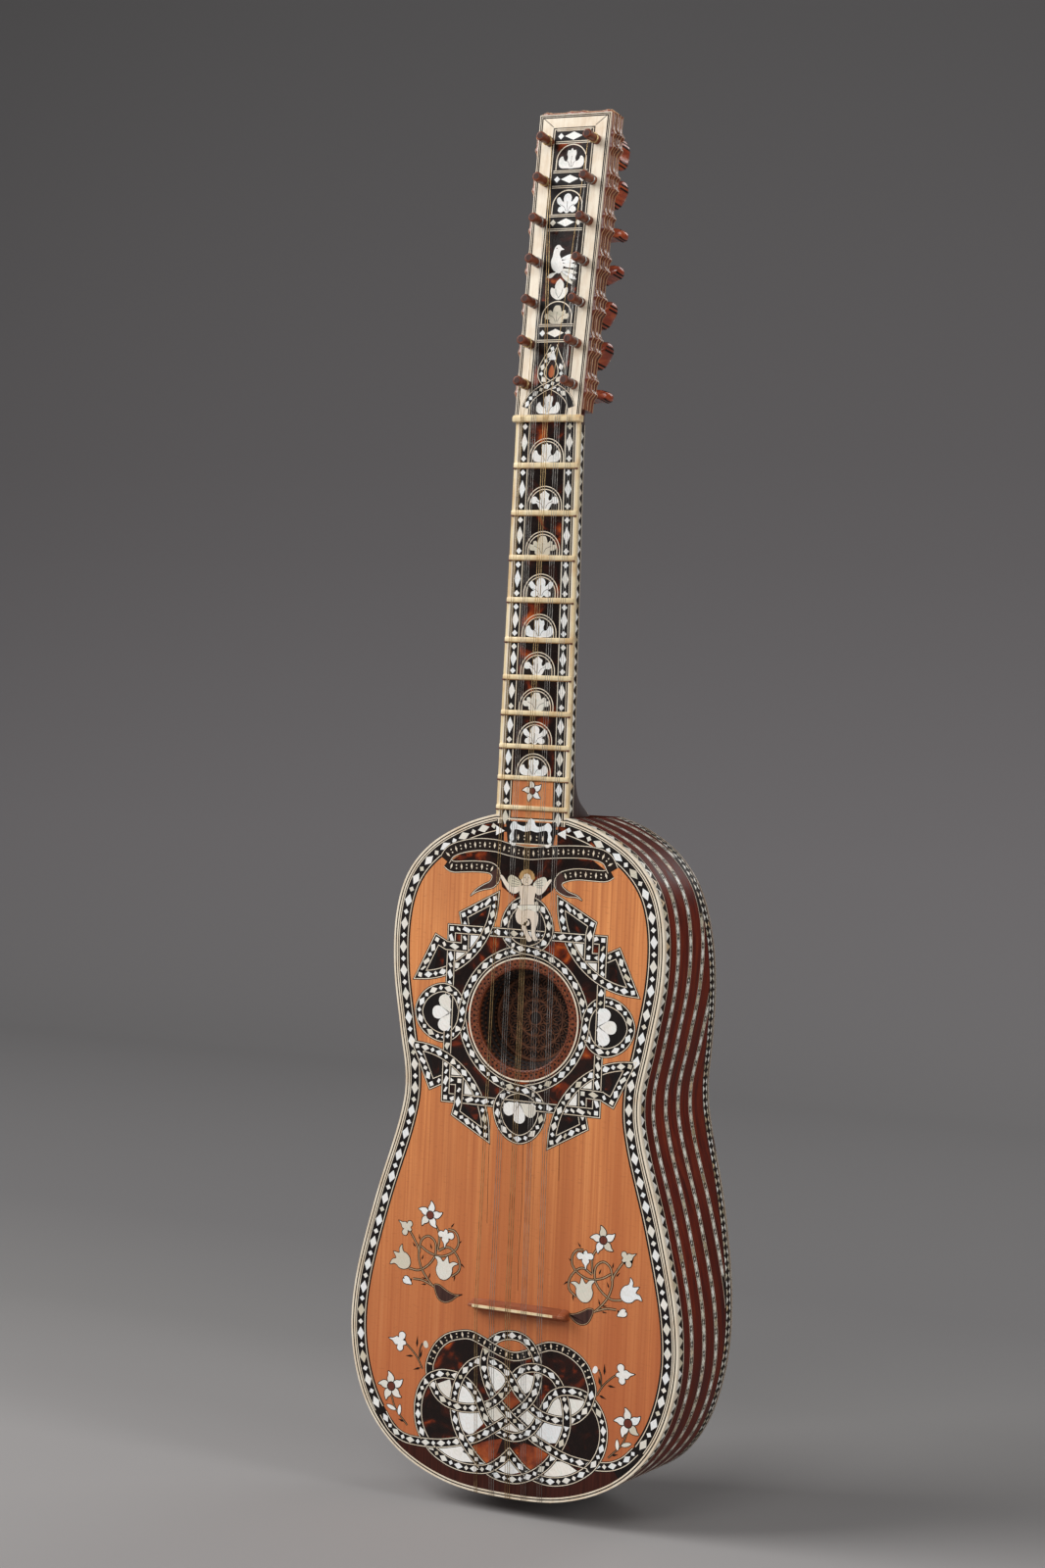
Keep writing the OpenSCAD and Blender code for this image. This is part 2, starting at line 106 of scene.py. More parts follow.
def neck_half(z):
    return 23.4 + (NUT_Z - z) * 0.01197


def back_y(x, z):
    fall = 0.00078 if z > CROWN_Z else 0.00109
    return CROWN_DEPTH - fall * (z - CROWN_Z) ** 2 - 0.0035 * x * x


def peg_s(row):
    return FIRST_PEG + (row - 1) * PEG_PITCH


# ---- curves --------------------------------------------------------------------------------------


def catmull(a, b, c, d, t):
    square = 2 * a - 5 * b + 4 * c - d
    cube = 3 * b - a - 3 * c + d
    return 0.5 * (2 * b + (c - a) * t + square * t * t + cube * t ** 3)


def smooth(points, closed=False, steps=8, ends=None):
    """A finer run of points on the spline through the given ones."""
    pts = [Vector(p) for p in points]
    n = len(pts)
    if closed:
        around = lambda i: pts[i % n]
        spans = n
    else:
        first, last = ends or (2 * pts[0] - pts[1], 2 * pts[-1] - pts[-2])
        padded = [Vector(first)] + pts + [Vector(last)]
        around = lambda i: padded[i + 1]
        spans = n - 1
    out = [
        catmull(around(i - 1), around(i), around(i + 1), around(i + 2), k / steps)
        for i in range(spans)
        for k in range(steps)
    ]
    return out if closed else out + [pts[-1]]


def rounded(points, steps=3):
    """A closed smooth outline through the given points."""
    return smooth(points, closed=True, steps=steps)


def turns(count):
    """Angles spread evenly over a full turn."""
    return [2 * math.pi * k / count for k in range(count)]


def mitres(pts, closed):
    """The left-hand side of each point of a flat run, stretched at corners so that a band keeps its width."""
    n = len(pts)
    out = []
    for i, p in enumerate(pts):
        before = pts[i - 1] if closed or i else None
        after = pts[(i + 1) % n] if closed or i < n - 1 else None
        sides = []
        for a, b in ((before, p), (p, after)):
            if a is not None and b is not None and (b - a).length > 1e-9:
                d = (b - a).normalized()
                sides.append(Vector((-d.y, d.x)))
        m = sum(sides, Vector((0, 0)))
        m = m.normalized() if m.length > 1e-9 else sides[0]
        out.append(m / max(m.dot(sides[0]), 0.35))
    return out


class Path:
    """A flat run of points that can be followed by distance."""

    def __init__(self, points, closed=False):
        self.pts = [Vector(p) for p in points]
        self.closed = closed
        self.sides = mitres(self.pts, closed)
        ring = self.pts + self.pts[:1] if closed else self.pts
        self.marks = [0.0]
        for a, b in zip(ring, ring[1:]):
            self.marks.append(self.marks[-1] + (b - a).length)
        self.length = self.marks[-1]

    def at(self, s, off=0.0):
        n = len(self.pts)
        s = s % self.length if self.closed else min(max(s, 0.0), self.length)
        i = int(np.searchsorted(self.marks, s, side="right")) - 1
        i = min(i, len(self.marks) - 2)
        span = self.marks[i + 1] - self.marks[i]
        t = (s - self.marks[i]) / span if span > 0 else 0.0
        j = (i + 1) % n
        return self.pts[i].lerp(self.pts[j], t) + off * self.sides[i].lerp(self.sides[j], t)

    def cut(self, s0, s1, step=1.5):
        count = max(2, int((s1 - s0) / step) + 1)
        return Path([self.at(s0 + (s1 - s0) * k / count) for k in range(count + 1)])

    def moved(self, d):
        return Path([p + d * m for p, m in zip(self.pts, self.sides)], self.closed)


def arc(cx, cz, r, a0, a1, steps=24):
    return [
        Vector((cx + r * math.cos(math.radians(a0 + (a1 - a0) * k / steps)),
                cz + r * math.sin(math.radians(a0 + (a1 - a0) * k / steps))))
        for k in range(steps + 1)
    ]


def circle(cx, cz, r, steps=24):
    return arc(cx, cz, r, 0, 360, steps)[:-1]


def mirrored(points):
    return [Vector((-p[0], p[1])) for p in points][::-1]


# ---- surfaces that inlay lies on -----------------------------------------------------------------


def on_table(u, v, lift):
    return spot(u, -lift, v)


def on_head(u, v, lift):
    return spot(u, HEAD_Y + v * math.sin(HEAD_LEAN) - lift * math.cos(HEAD_LEAN),
                NUT_Z + v * math.cos(HEAD_LEAN) + lift * math.sin(HEAD_LEAN))


half_outline = smooth(BODY_CURVE, steps=10, ends=((-44, 3.7), (0, 456)))
outline = Path(half_outline + mirrored(half_outline)[:-1], closed=True)
side_run = Path([Vector((-p.x, p.y)) for p in reversed(half_outline)] + half_outline[1:])


def on_side(u, v, lift):
    """u runs along the outline from the neck's left, round the tail, to its right; v is the depth."""
    p = side_run.at(u, -lift)
    return spot(p.x, v, p.y)


def rear_end(p):
    """The depth of the side where it meets the back, at a point of the outline."""
    return back_y(p.x, p.y) - WALL - SIDE_GAP


def edge_depth(u):
    return rear_end(side_run.at(u))


def on_rear(u, v, lift):
    """Like on_side, with v measured forwards from the back's edge."""
    return on_side(u, edge_depth(u) - v, lift)


# ---- meshes --------------------------------------------------------------------------------------


class Work:
    """Gathers the solids of one piece, with a material for each face."""

    def __init__(self, surface=on_table):
        self.surface = surface
        self.points, self.faces, self.finish = [], [], []

    def add(self, points, faces, finish):
        base = len(self.points)
        self.points += points
        self.faces += [[base + i for i in f] for f in faces]
        self.finish += [finish] * len(faces)

    def plate(self, polygon, finish, top, bottom=-0.5):
        """A closed prism on the surface, from lift bottom to lift top."""
        high = [self.surface(p[0], p[1], top) for p in polygon]
        low = [self.surface(p[0], p[1], bottom) for p in polygon]
        if newell(high).dot(high[0] - low[0]) < 0:
            high.reverse()
            low.reverse()
        n = len(high)
        self.add(high + low, [list(range(n)), list(range(2 * n - 1, n - 1, -1))]
                 + [[i, i + n, (i + 1) % n + n, (i + 1) % n] for i in range(n)], finish)

    def ribbon(self, path, left, right, finish, top, bottom=-0.5):
        """A closed strip between two offsets of a path; positive offsets are on its left."""
        rings = []
        for p, q in zip(path.moved(left).pts, path.moved(right).pts):
            corners = ((p, top), (q, top), (q, bottom), (p, bottom))
            rings.append([self.surface(c.x, c.y, lift) for c, lift in corners])
        self.loft(rings, finish, closed=path.closed)

    def line(self, path, off, half, finish, top):
        """A ribbon of the given half-width round an offset of a path."""
        self.ribbon(path, off + half, off - half, finish, top)

    def loft(self, rings, finish, closed=False):
        """Joins rings of points; the winding is turned so that the faces look outwards."""
        n, m = len(rings), len(rings[0])
        faces = []
        for i in range(n if closed else n - 1):
            j = (i + 1) % n
            for k in range(m):
                q = (k + 1) % m
                faces.append([i * m + k, i * m + q, j * m + q, j * m + k])
        if not closed:
            faces.append(list(range(m - 1, -1, -1)))
            faces.append([(n - 1) * m + k for k in range(m)])
        centre = sum(rings[0], Vector()) / m
        along = (sum(rings[1], Vector()) / m) - centre
        if newell(rings[0]).dot(along) < 0:
            faces = [f[::-1] for f in faces]
        self.add([p for r in rings for p in r], faces, finish)

    def make(self, name, slot, smooth_angle=None, replaces=(), body=GUITAR):
        mesh = bpy.data.meshes.new(name)
        mesh.from_pydata([tuple(p) for p in self.points], [], self.faces)
        used = sorted(set(self.finish), key=self.finish.index)
        for f in used:
            mesh.materials.append(FINISH[f])
        mesh.polygons.foreach_set("material_index", [used.index(f) for f in self.finish])
        mesh.update()
        obj = bpy.data.objects.new(name, mesh)
        bpy.context.scene.collection.objects.link(obj)
        if smooth_angle is not None:
            mesh.polygons.foreach_set("use_smooth", [True] * len(mesh.polygons))
            mesh.set_sharp_from_angle(angle=math.radians(smooth_angle))
        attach(obj, body)
        if replaces:
            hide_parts(*replaces)
        return obj


def newell(points):
    total = Vector()
    for a, b in zip(points, points[1:] + points[:1]):
        total += a.cross(b)
    return total


# ---- materials -----------------------------------------------------------------------------------


def tone(r, g, b):
    """A colour given as 8-bit display values."""
    lin = lambda c: c / 12.92 if c <= 0.04045 else ((c + 0.055) / 1.055) ** 2.4
    return (lin(r / 255), lin(g / 255), lin(b / 255), 1.0)


class Finish:
    """One procedural material, built up node by node."""

    def __init__(self, name, rough=0.5, coat=0.0, metal=0.0, coat_rough=0.15, specular=0.5):
        self.mat = bpy.data.materials.new(name)
        self.mat.use_nodes = True
        self.tree = self.mat.node_tree
        self.shader = self.tree.nodes["Principled BSDF"]
        for key, value in (("Roughness", rough), ("Metallic", metal), ("Coat Weight", coat),
                           ("Coat Roughness", coat_rough), ("Specular IOR Level", specular)):
            self.shader.inputs[key].default_value = value
        self.coords = self.node("TexCoord").outputs["Object"]

    def node(self, kind, **values):
        """Adds a node with its inputs set; an underscore in a name stands for a space."""
        node = self.tree.nodes.new("ShaderNode" + kind)
        for key, value in values.items():
            node.inputs[key.replace("_", " ")].default_value = value
        return node

    def link(self, a, b):
        self.tree.links.new(a, b)

    def stretched(self, scale):
        node = self.node("Mapping", Scale=scale)
        self.link(self.coords, node.inputs["Vector"])
        return node.outputs["Vector"]

    def noise(self, scale, stretch=(1, 1, 1), detail=3.0, rough=0.55, distortion=0.0):
        node = self.node("TexNoise", Scale=scale, Detail=detail, Roughness=rough, Distortion=distortion)
        self.link(self.stretched(stretch), node.inputs["Vector"])
        return node.outputs["Fac"]

    def wave(self, scale, stretch, distortion, detail, direction):
        node = self.node("TexWave", Scale=scale, Distortion=distortion, Detail=detail)
        node.bands_direction = direction
        self.link(self.stretched(stretch), node.inputs["Vector"])
        return node.outputs["Fac"]

    def island(self):
        return self.node("NewGeometry").outputs["Random Per Island"]

    def ramp(self, fac, stops):
        """Turns a value into colours; each stop is (place, 8-bit colour)."""
        node = self.node("ValToRGB")
        ramp = node.color_ramp
        while len(ramp.elements) < len(stops):
            ramp.elements.new(0.5)
        for element, (place, colour) in zip(ramp.elements, stops):
            element.position = place
            element.color = tone(*colour)
        self.link(fac, node.inputs["Fac"])
        return node.outputs["Color"]

    def grey(self, fac, low, high, start=0.0, end=1.0):
        """Maps a value that runs from start to end onto a range of greys."""
        node = self.node("MapRange", From_Min=start, From_Max=end, To_Min=low, To_Max=high)
        self.link(fac, node.inputs["Value"])
        return node.outputs["Result"]

    def veil(self, base, source, low, high, start, end, colour):
        """Lays a colour over the base, as strongly as the source says."""
        return self.mix(self.grey(source, low, high, start, end), base, tone(*colour))

    def mix(self, fac, a, b, blend="MIX"):
        node = self.node("Mix")
        node.data_type = "RGBA"
        node.blend_type = blend
        for value, key in ((fac, "Factor"), (a, "A"), (b, "B")):
            sockets = [s for s in node.inputs if s.name == key and (
                s.type == ("VALUE" if key == "Factor" else "RGBA"))]
            if hasattr(value, "is_linked"):
                self.link(value, sockets[0])
            else:
                sockets[0].default_value = value
        return [s for s in node.outputs if s.type == "RGBA"][0]

    def colour(self, socket):
        self.link(socket, self.shader.inputs["Base Color"])
        return self

    def rough(self, socket):
        self.link(socket, self.shader.inputs["Roughness"])
        return self

    def bump(self, height, strength=0.2, distance=0.0002):
        node = self.node("Bump", Strength=strength, Distance=distance)
        self.link(height, node.inputs["Height"])
        self.link(node.outputs["Normal"], self.shader.inputs["Normal"])
        return self

    def height(self):
        """The height along the guitar, in metres in the shared frame."""
        node = self.node("SeparateXYZ")
        self.link(self.coords, node.inputs["Vector"])
        return node.outputs["Z"]


def make_spruce():
    f = Finish("spruce", rough=0.5, coat=0.15, coat_rough=0.35)
    grain = f.noise(560, (1, 0.2, 0.010), detail=5)
    broad = f.noise(46, (1, 0.3, 0.07), detail=4)
    flecks = f.noise(800, (0.25, 0.3, 1.0), detail=2)
    wear = f.noise(11, (1, 1, 0.6), detail=5)
    base = f.ramp(grain, [(0.28, (184, 104, 52)), (0.50, (228, 145, 80)), (0.74, (242, 167, 102))])
    streaks = f.noise(150, (1, 0.2, 0.006), detail=3)
    base = f.veil(base, streaks, 0.0, 0.55, 0.52, 0.68, (176, 96, 48))
    tinted = f.veil(base, broad, 0.0, 0.8, 0.38, 0.7, (190, 106, 50))
    # painted shade: the table is coloured darker and more orange towards its tail, as if less light reached
    # its lower part
    low = f.veil(tinted, f.height(), 0.72, 0.0, -0.68, -0.40, (176, 88, 46))
    spots = f.veil(low, flecks, 0.30, 0.0, 0.3, 0.42, (160, 88, 44))
    dirt = f.veil(spots, wear, 0.0, 0.5, 0.5, 0.72, (172, 98, 52))
    f.colour(dirt).bump(grain, 0.25, 0.00008)
    f.rough(f.grey(wear, 0.42, 0.6))
    return f.mat


PORE_SHADE = 0.35


def make_wood(name, dark, mid, light, stretch, scale=240, rough=0.4, coat=0.3, specular=0.3):
    f = Finish(name, rough=rough, coat=coat, coat_rough=0.22, specular=specular)
    grain = f.noise(scale, stretch, detail=5, rough=0.6, distortion=0.4)
    cloud = f.noise(18, (1, 1, 0.5), detail=3)
    pores = f.noise(scale * 4, stretch, detail=2)
    base = f.ramp(grain, [(0.30, dark), (0.5, mid), (0.74, light)])
    shaded = f.veil(base, cloud, 0.0, 0.6, 0.4, 0.72, dark)
    deep = tuple(PORE_SHADE * c for c in tone(*dark)[:3]) + (1,)
    pored = f.mix(f.grey(pores, 0.5, 0.0, 0.28, 0.40), shaded, deep)
    f.colour(pored).bump(pores, 0.25, 0.00008)
    f.rough(f.grey(grain, rough - 0.08, rough + 0.12, 0.3, 0.7))
    return f.mat


def make_pearl():
    f = Finish("pearl", rough=0.28, coat=0.45, coat_rough=0.12, specular=0.7)
    island = f.island()
    cloud = f.noise(150, (1, 1, 1.4), detail=4, distortion=1.2)
    layers = f.wave(260, (1, 1, 0.6), 9, 3, "DIAGONAL")
    base = f.ramp(island, [(0.0, (212, 202, 178)), (0.10, (236, 232, 220)), (0.40, (253, 252, 248)),
                           (0.8, (246, 250, 252)), (1.0, (254, 248, 236))])
    sheen = f.ramp(cloud, [(0.30, (214, 228, 222)), (0.45, (254, 253, 250)), (0.56, (252, 240, 236)),
                           (0.70, (226, 220, 202))])
    mixed = f.mix(0.36, base, sheen, "MULTIPLY")
    lined = f.veil(mixed, layers, 0.0, 0.14, 0.3, 0.9, (206, 196, 176))
    f.colour(lined).bump(cloud, 0.12, 0.0001)
    f.rough(f.grey(cloud, 0.2, 0.42, 0.3, 0.7))
    return f.mat


def make_aged_pearl():
    f = Finish("aged_pearl", rough=0.35, coat=0.35, coat_rough=0.15, specular=0.6)
    island = f.island()
    cloud = f.noise(220, (1, 1, 1), detail=3, distortion=0.8)
    base = f.ramp(island, [(0.0, (150, 126, 86)), (0.12, (214, 202, 172)), (0.34, (244, 240, 226)),
                           (0.8, (252, 250, 244)), (1.0, (214, 182, 136))])
    dirt = f.veil(base, cloud, 0.0, 0.4, 0.5, 0.78, (120, 100, 76))
    f.colour(dirt).bump(cloud, 0.2, 0.0001)
    return f.mat


def make_bone(name, pale, warm, aging):
    f = Finish(name, rough=0.45, coat=0.1, coat_rough=0.3)
    grain = f.noise(420, (1, 1, 0.04), detail=3)
    cloud = f.noise(60, (1, 1, 1), detail=4)
    base = f.ramp(grain, [(0.3, warm), (0.55, pale), (0.8, pale)])
    aged = f.veil(base, cloud, 0.0, aging, 0.46, 0.76, (196, 150, 92))
    f.colour(aged).bump(grain, 0.12, 0.00005)
    f.rough(f.grey(cloud, 0.38, 0.54))
    return f.mat


def make_tortoiseshell():
    f = Finish("tortoiseshell", rough=0.26, coat=0.16, coat_rough=0.1, specular=0.2)
    cloud = f.noise(52, (1, 1, 1.2), detail=4, rough=0.5, distortion=0.7)
    fine = f.noise(230, (1, 1, 1), detail=2)
    base = f.ramp(cloud, [(0.46, (22, 11, 8)), (0.55, (46, 18, 10)), (0.62, (116, 42, 16)),
                          (0.70, (186, 88, 32))])
    mottled = f.veil(base, fine, 0.0, 0.5, 0.5, 0.7, (34, 18, 14))
    f.colour(mottled)
    f.rough(f.grey(fine, 0.18, 0.34))
    return f.mat


def make_ebony(name="ebony", shade=(17, 13, 12)):
    f = Finish(name, rough=0.5, coat=0.03, coat_rough=0.35, specular=0.14)
    grain = f.noise(500, (1, 1, 0.06), detail=3)
    dust = f.noise(70, (1, 1, 1), detail=4)
    base = f.ramp(grain, [(0.3, shade), (0.7, [int(c * 1.5) + 4 for c in shade])])
    f.colour(f.veil(base, dust, 0.0, 0.3, 0.5, 0.8, (52, 38, 30))).bump(grain, 0.15, 0.00006)
    f.rough(f.grey(dust, 0.42, 0.6))
    return f.mat


def make_metal(name, colour, worn, rough):
    f = Finish(name, rough=rough, metal=1.0)
    cloud = f.noise(160, (1, 1, 1), detail=3)
    f.colour(f.ramp(cloud, [(0.35, worn), (0.6, colour)]))
    f.rough(f.grey(cloud, rough - 0.08, rough + 0.15))
    return f.mat


UP = (1, 1, 0.03)
FINISH = {
    "spruce": make_spruce(),
    "pearl": make_pearl(),
    "aged_pearl": make_aged_pearl(),
    "bone": make_bone("bone", (243, 230, 208), (228, 210, 184), 0.45),
    "old_bone": make_bone("old_bone", (242, 222, 180), (222, 196, 148), 0.85),
    "tortoise": make_tortoiseshell(),
    "black": make_ebony(),
    "mastic": make_ebony("mastic", (22, 14, 10)),
    "rib": make_wood("rib_wood", (58, 15, 7), (102, 31, 14), (132, 50, 22), (0.5, 1, 0.05), 260, 0.42, 0.03,
                     specular=0.12),
    "stave": make_wood("stave_wood", (70, 30, 20), (104, 48, 30), (132, 66, 42), (1, 1, 0.04), 240, 0.34,
                       0.4),
    "neck": make_wood("neck_wood", (38, 20, 15), (60, 32, 22), (80, 44, 30), UP, 260, 0.4, 0.3),
    "edge": make_wood("edge_wood", (78, 28, 16), (122, 52, 28), (160, 84, 50), UP, 200, 0.26, 0.6),
    "peg": make_wood("peg_wood", (120, 40, 16), (184, 76, 32), (220, 112, 54), (1, 0.15, 1), 260, 0.24,
                     0.7),
    "post": make_wood("post_wood", (78, 34, 18), (120, 58, 32), (160, 86, 50), (1, 0.12, 1), 300, 0.45,
                      0.2),
    "bridge": make_wood("bridge_wood", (110, 52, 28), (148, 80, 48), (178, 106, 70), (0.05, 1, 1), 280,
                        0.38, 0.3),
    "inner": make_wood("inner_spruce", (150, 104, 62), (186, 140, 92), (206, 164, 114), (0.1, 1, 1), 200,
                       0.6, 0.0),
    "rose": make_wood("rose_wood", (16, 9, 7), (28, 15, 10), (44, 25, 17), (1, 1, 1), 200, 0.7, 0.0),
    "tracery": make_wood("tracery_wood", (66, 38, 24), (98, 58, 36), (128, 80, 50), (1, 1, 1), 300, 0.6,
                         0.05),
    "lace": make_wood("lace_wood", (78, 34, 16), (118, 56, 28), (148, 80, 44), (1, 1, 1), 300, 0.5, 0.1),
    "brass": make_metal("brass", (200, 172, 124), (140, 112, 74), 0.34),
    "steel": make_metal("steel", (178, 176, 172), (120, 114, 106), 0.3),
    "leaf": make_ebony("leaf_wood", (52, 34, 30)),
    "stem": make_wood("stem_wood", (150, 116, 84), (178, 146, 112), (196, 168, 136), UP, 300, 0.5, 0.1),
    "shell": make_wood("shell", (150, 66, 24), (196, 104, 44), (214, 132, 66), UP, 60, 0.3, 0.3),
    "thread": make_wood("thread_wood", (158, 112, 74), (196, 152, 108), (216, 178, 136), UP, 300, 0.4, 0.2),
    "amber": make_wood("amber_shell", (70, 28, 14), (140, 58, 24), (196, 96, 38), (1, 1, 1), 70, 0.26,
                       0.45),
    "old_brass": make_wood("old_brass", (120, 72, 26), (160, 108, 44), (190, 140, 70), UP, 300, 0.35, 0.3),
    "stain": make_wood("stained_bone", (168, 104, 48), (196, 138, 76), (214, 172, 118), UP, 300, 0.45, 0.1),
    "ivory": make_wood("ivory", (226, 208, 188), (242, 228, 210), (248, 238, 224), UP, 200, 0.4, 0.2),
    "hair": make_wood("hair_shell", (150, 108, 60), (190, 150, 96), (214, 180, 130), UP, 300, 0.45, 0.1),
    "tail": make_ebony("tail_wood", (46, 20, 14)),
    "centre": make_wood("centre_wood", (84, 34, 22), (112, 50, 34), (132, 66, 46), UP, 300, 0.4, 0.3),
}

# ---- inlay bands ---------------------------------------------------------------------------------

# how far each layer stands above its surface; OVER is added where a band crosses over another
GROUND, FIELD, BASE, LINE, PEARL, OVER, TOP = 0.03, 0.05, 0.07, 0.09, 0.10, 0.06, 0.20
SUNK = -0.4
LINE_HALF = 0.25


def lozenge(work, path, s, length, width, lift, finish="pearl"):
    corners = [path.at(s - length / 2), path.at(s, -width / 2), path.at(s + length / 2),
               path.at(s, width / 2)]
    work.plate(corners, finish, lift, SUNK)


def sides_of(path):
    """The stretches of a path between its sharp corners, as (start, end, whether a corner bounds it)."""
    n = len(path.pts)
    corners = []
    for i in range(n):
        if not path.closed and i in (0, n - 1):
            continue
        before = path.pts[i] - path.pts[i - 1]
        after = path.pts[(i + 1) % n] - path.pts[i]
        if before.length > 1e-6 and after.length > 1e-6 and before.angle(after) > math.radians(32):
            corners.append(path.marks[i])
    if not corners:
        return [(0.0, path.length, False)], []
    if path.closed:
        ends = corners + [corners[0] + path.length]
    else:
        ends = [0.0] + corners + [path.length]
    return [(s0, s1, True) for s0, s1 in zip(ends, ends[1:]) if s1 - s0 > 1.0], corners


def pearl_row(work, path, pitch, long_size, small, lift=PEARL, raised=(), skip=()):
    """Long lozenges and small diamonds in turn along a path, lifted on the raised stretches."""

    def put(s, length, width):
        if any(in_stretch(path, s, r) for r in skip):
            return
        up = OVER if any(in_stretch(path, s, r) for r in raised) else 0.0
        lozenge(work, path, s, length, width, lift + up + 0.004 * (round(s) % 3))

    stretches, corners = sides_of(path)
    for s0, s1, bounded in stretches:
        pad = 3.0 if bounded else 0.0
        room = s1 - s0 - 2 * pad
        if room < pitch * 0.55:
            put((s0 + s1) / 2, max(min(long_size[0], room + 2.0), small),
                min(long_size[1], 0.6 * room + 1.6))
            continue
        count = max(1, round(room / pitch)) if room > pitch * 0.8 else 1
        step = room / count
        for i in range(count):
            put(s0 + pad + (i + 0.3) * step, min(long_size[0], 0.56 * step), long_size[1])
            put(s0 + pad + (i + 0.8) * step, small, small)
    for n, s in enumerate(corners):
        if n and s - corners[n - 1] < 4.0:
            continue
        p = path.at(s)
        up = 0.012 + OVER if any(in_stretch(path, s, r) for r in raised) else 0.0
        d = small * 0.6
        a, b = path.at(s - 3.2), path.at(s + 3.2)
        out = (p - (a + b) / 2)
        out = out.normalized() if out.length > 1e-6 else Vector((0, 1))
        side = Vector((-out.y, out.x))
        tip, foot = p + out * d, p - out * d
        work.plate([tip, p + side * d, foot, p - side * d], "pearl", lift + up, SUNK)


def in_stretch(path, s, stretch):
    a, b = stretch
    if path.closed:
        return (s - a) % path.length < (b - a)
    return a < s < b


def draw_band(work, path, half=3.5, line=2.75, pearls=(12.0, 7.4, 4.3, 3.3), up=0.0, plain=(), raised=()):
    """A black band with white side lines and a row of pearl, which the plain stretches go without."""
    work.ribbon(path, half, -half, "black", BASE + up)
    for side in (-1, 1):
        work.line(path, side * line, LINE_HALF, "bone", LINE + up)
    if pearls:
        pearl_row(work, path, pearls[0], pearls[1:3], pearls[3], PEARL + up, raised=raised, skip=plain)


def crossings(paths):
    """Every place where the paths cross: (path i, distance along it, path j, distance along it)."""
    starts, deltas, owners, marks = [], [], [], []
    for i, p in enumerate(paths):
        ring = p.pts + p.pts[:1] if p.closed else p.pts
        for k in range(len(ring) - 1):
            starts.append(ring[k][:])
            deltas.append((ring[k + 1] - ring[k])[:])
            owners.append(i)
            marks.append(p.marks[k])
    a, d = np.array(starts), np.array(deltas)
    owners, marks = np.array(owners), np.array(marks)
    found = []
    for k in range(len(a)):
        gap = a[k + 1:] - a[k]
        det = d[k, 0] * d[k + 1:, 1] - d[k, 1] * d[k + 1:, 0]
        det = np.where(np.abs(det) < 1e-9, np.inf, det)
        t = (gap[:, 0] * d[k + 1:, 1] - gap[:, 1] * d[k + 1:, 0]) / det
        u = (gap[:, 0] * d[k, 1] - gap[:, 1] * d[k, 0]) / det
        for m in np.nonzero(np.isfinite(det) & (t >= 0) & (t < 1) & (u >= 0) & (u < 1))[0]:
            j = k + 1 + int(m)
            s0 = marks[k] + t[m] * np.linalg.norm(d[k])
            s1 = marks[j] + u[m] * np.linalg.norm(d[j])
            i0, i1 = int(owners[k]), int(owners[j])
            if i0 == i1:
                around = abs(s1 - s0)
                if paths[i0].closed:
                    around = min(around, paths[i0].length - around)
                if around < 6:
                    continue
            if all(abs(s0 - f[1]) > 1.0 or i0 != f[0] or abs(s1 - f[3]) > 1.0 or i1 != f[2] for f in found):
                found.append((i0, s0, i1, s1))
    return found


def weave(work, paths, plain=(), **looks):
    """Draws bands that pass over and under each other in turn."""
    found = crossings(paths)
    visits = {}
    for i in range(len(paths)):
        first = [(f[1], n, 0) for n, f in enumerate(found) if f[0] == i]
        second = [(f[3], n, 1) for n, f in enumerate(found) if f[2] == i]
        visits[i] = sorted(first + second)
    state = {}
    queue = []
    for i in range(len(paths)):
        for _, n, end in visits[i]:
            if (n, end) in state:
                continue
            state[(n, end)] = True
            queue.append((n, end))
            while queue:
                here = queue.pop(0)
                owner = found[here[0]][2 * here[1]]
                row = [(v[1], v[2]) for v in visits[owner]]
                at = row.index(here)
                near = [(here[0], 1 - here[1])]
                if at + 1 < len(row):
                    near.append(row[at + 1])
                if at:
                    near.append(row[at - 1])
                for other in near:
                    if other not in state:
                        state[other] = not state[here]
                        queue.append(other)
    for i, path in enumerate(paths):
        over = []
        for s, n, end in visits[i]:
            if state[(n, end)]:
                if end == 1 and state[(n, 0)]:
                    continue
                other = found[n][2 * (1 - end)]
                t0 = path.at(s + 1) - path.at(s - 1)
                s1 = found[n][1 + 2 * (1 - end)]
                t1 = paths[other].at(s1 + 1) - paths[other].at(s1 - 1)
                sine = abs(t0.x * t1.y - t0.y * t1.x) / max(t0.length * t1.length, 1e-6)
                reach = min(3.7 / max(sine, 0.3), 9.0)
                over.append((s - reach, s + reach))
        bare = [(s0, s1) for j, s0, s1 in plain if j == i]
        draw_band(work, path, raised=over, plain=bare, **looks)
        for s0, s1 in over:
            stretch = dict(looks, pearls=None)
            draw_band(work, path.cut(s0, s1), up=OVER, **stretch)


def grown(polygon, by):
    """The outline of a shape pushed outwards."""
    run = Path(polygon, closed=True)
    area = sum(a.x * b.y - b.x * a.y for a, b in zip(run.pts, run.pts[1:] + run.pts[:1]))
    return run.moved(-by if area > 0 else by).pts


def outlined(work, polygon, finish, edge=0.45, lift=TOP):
    """A shape with a dark line round it."""
    work.plate(grown(polygon, edge), "mastic", lift - 0.05)
    work.plate(polygon, finish, lift)


def placed(shape, cx, cz, size=1.0, turn=0.0, flip=False):
    """A shape drawn round the origin, set down at a place."""
    c, s = math.cos(math.radians(turn)), math.sin(math.radians(turn))
    out = []
    for p in shape:
        x, z = (-p[0] if flip else p[0]), p[1]
        out.append(Vector((cx + size * (x * c - z * s), cz + size * (x * s + z * c))))
    return out[::-1] if flip else out


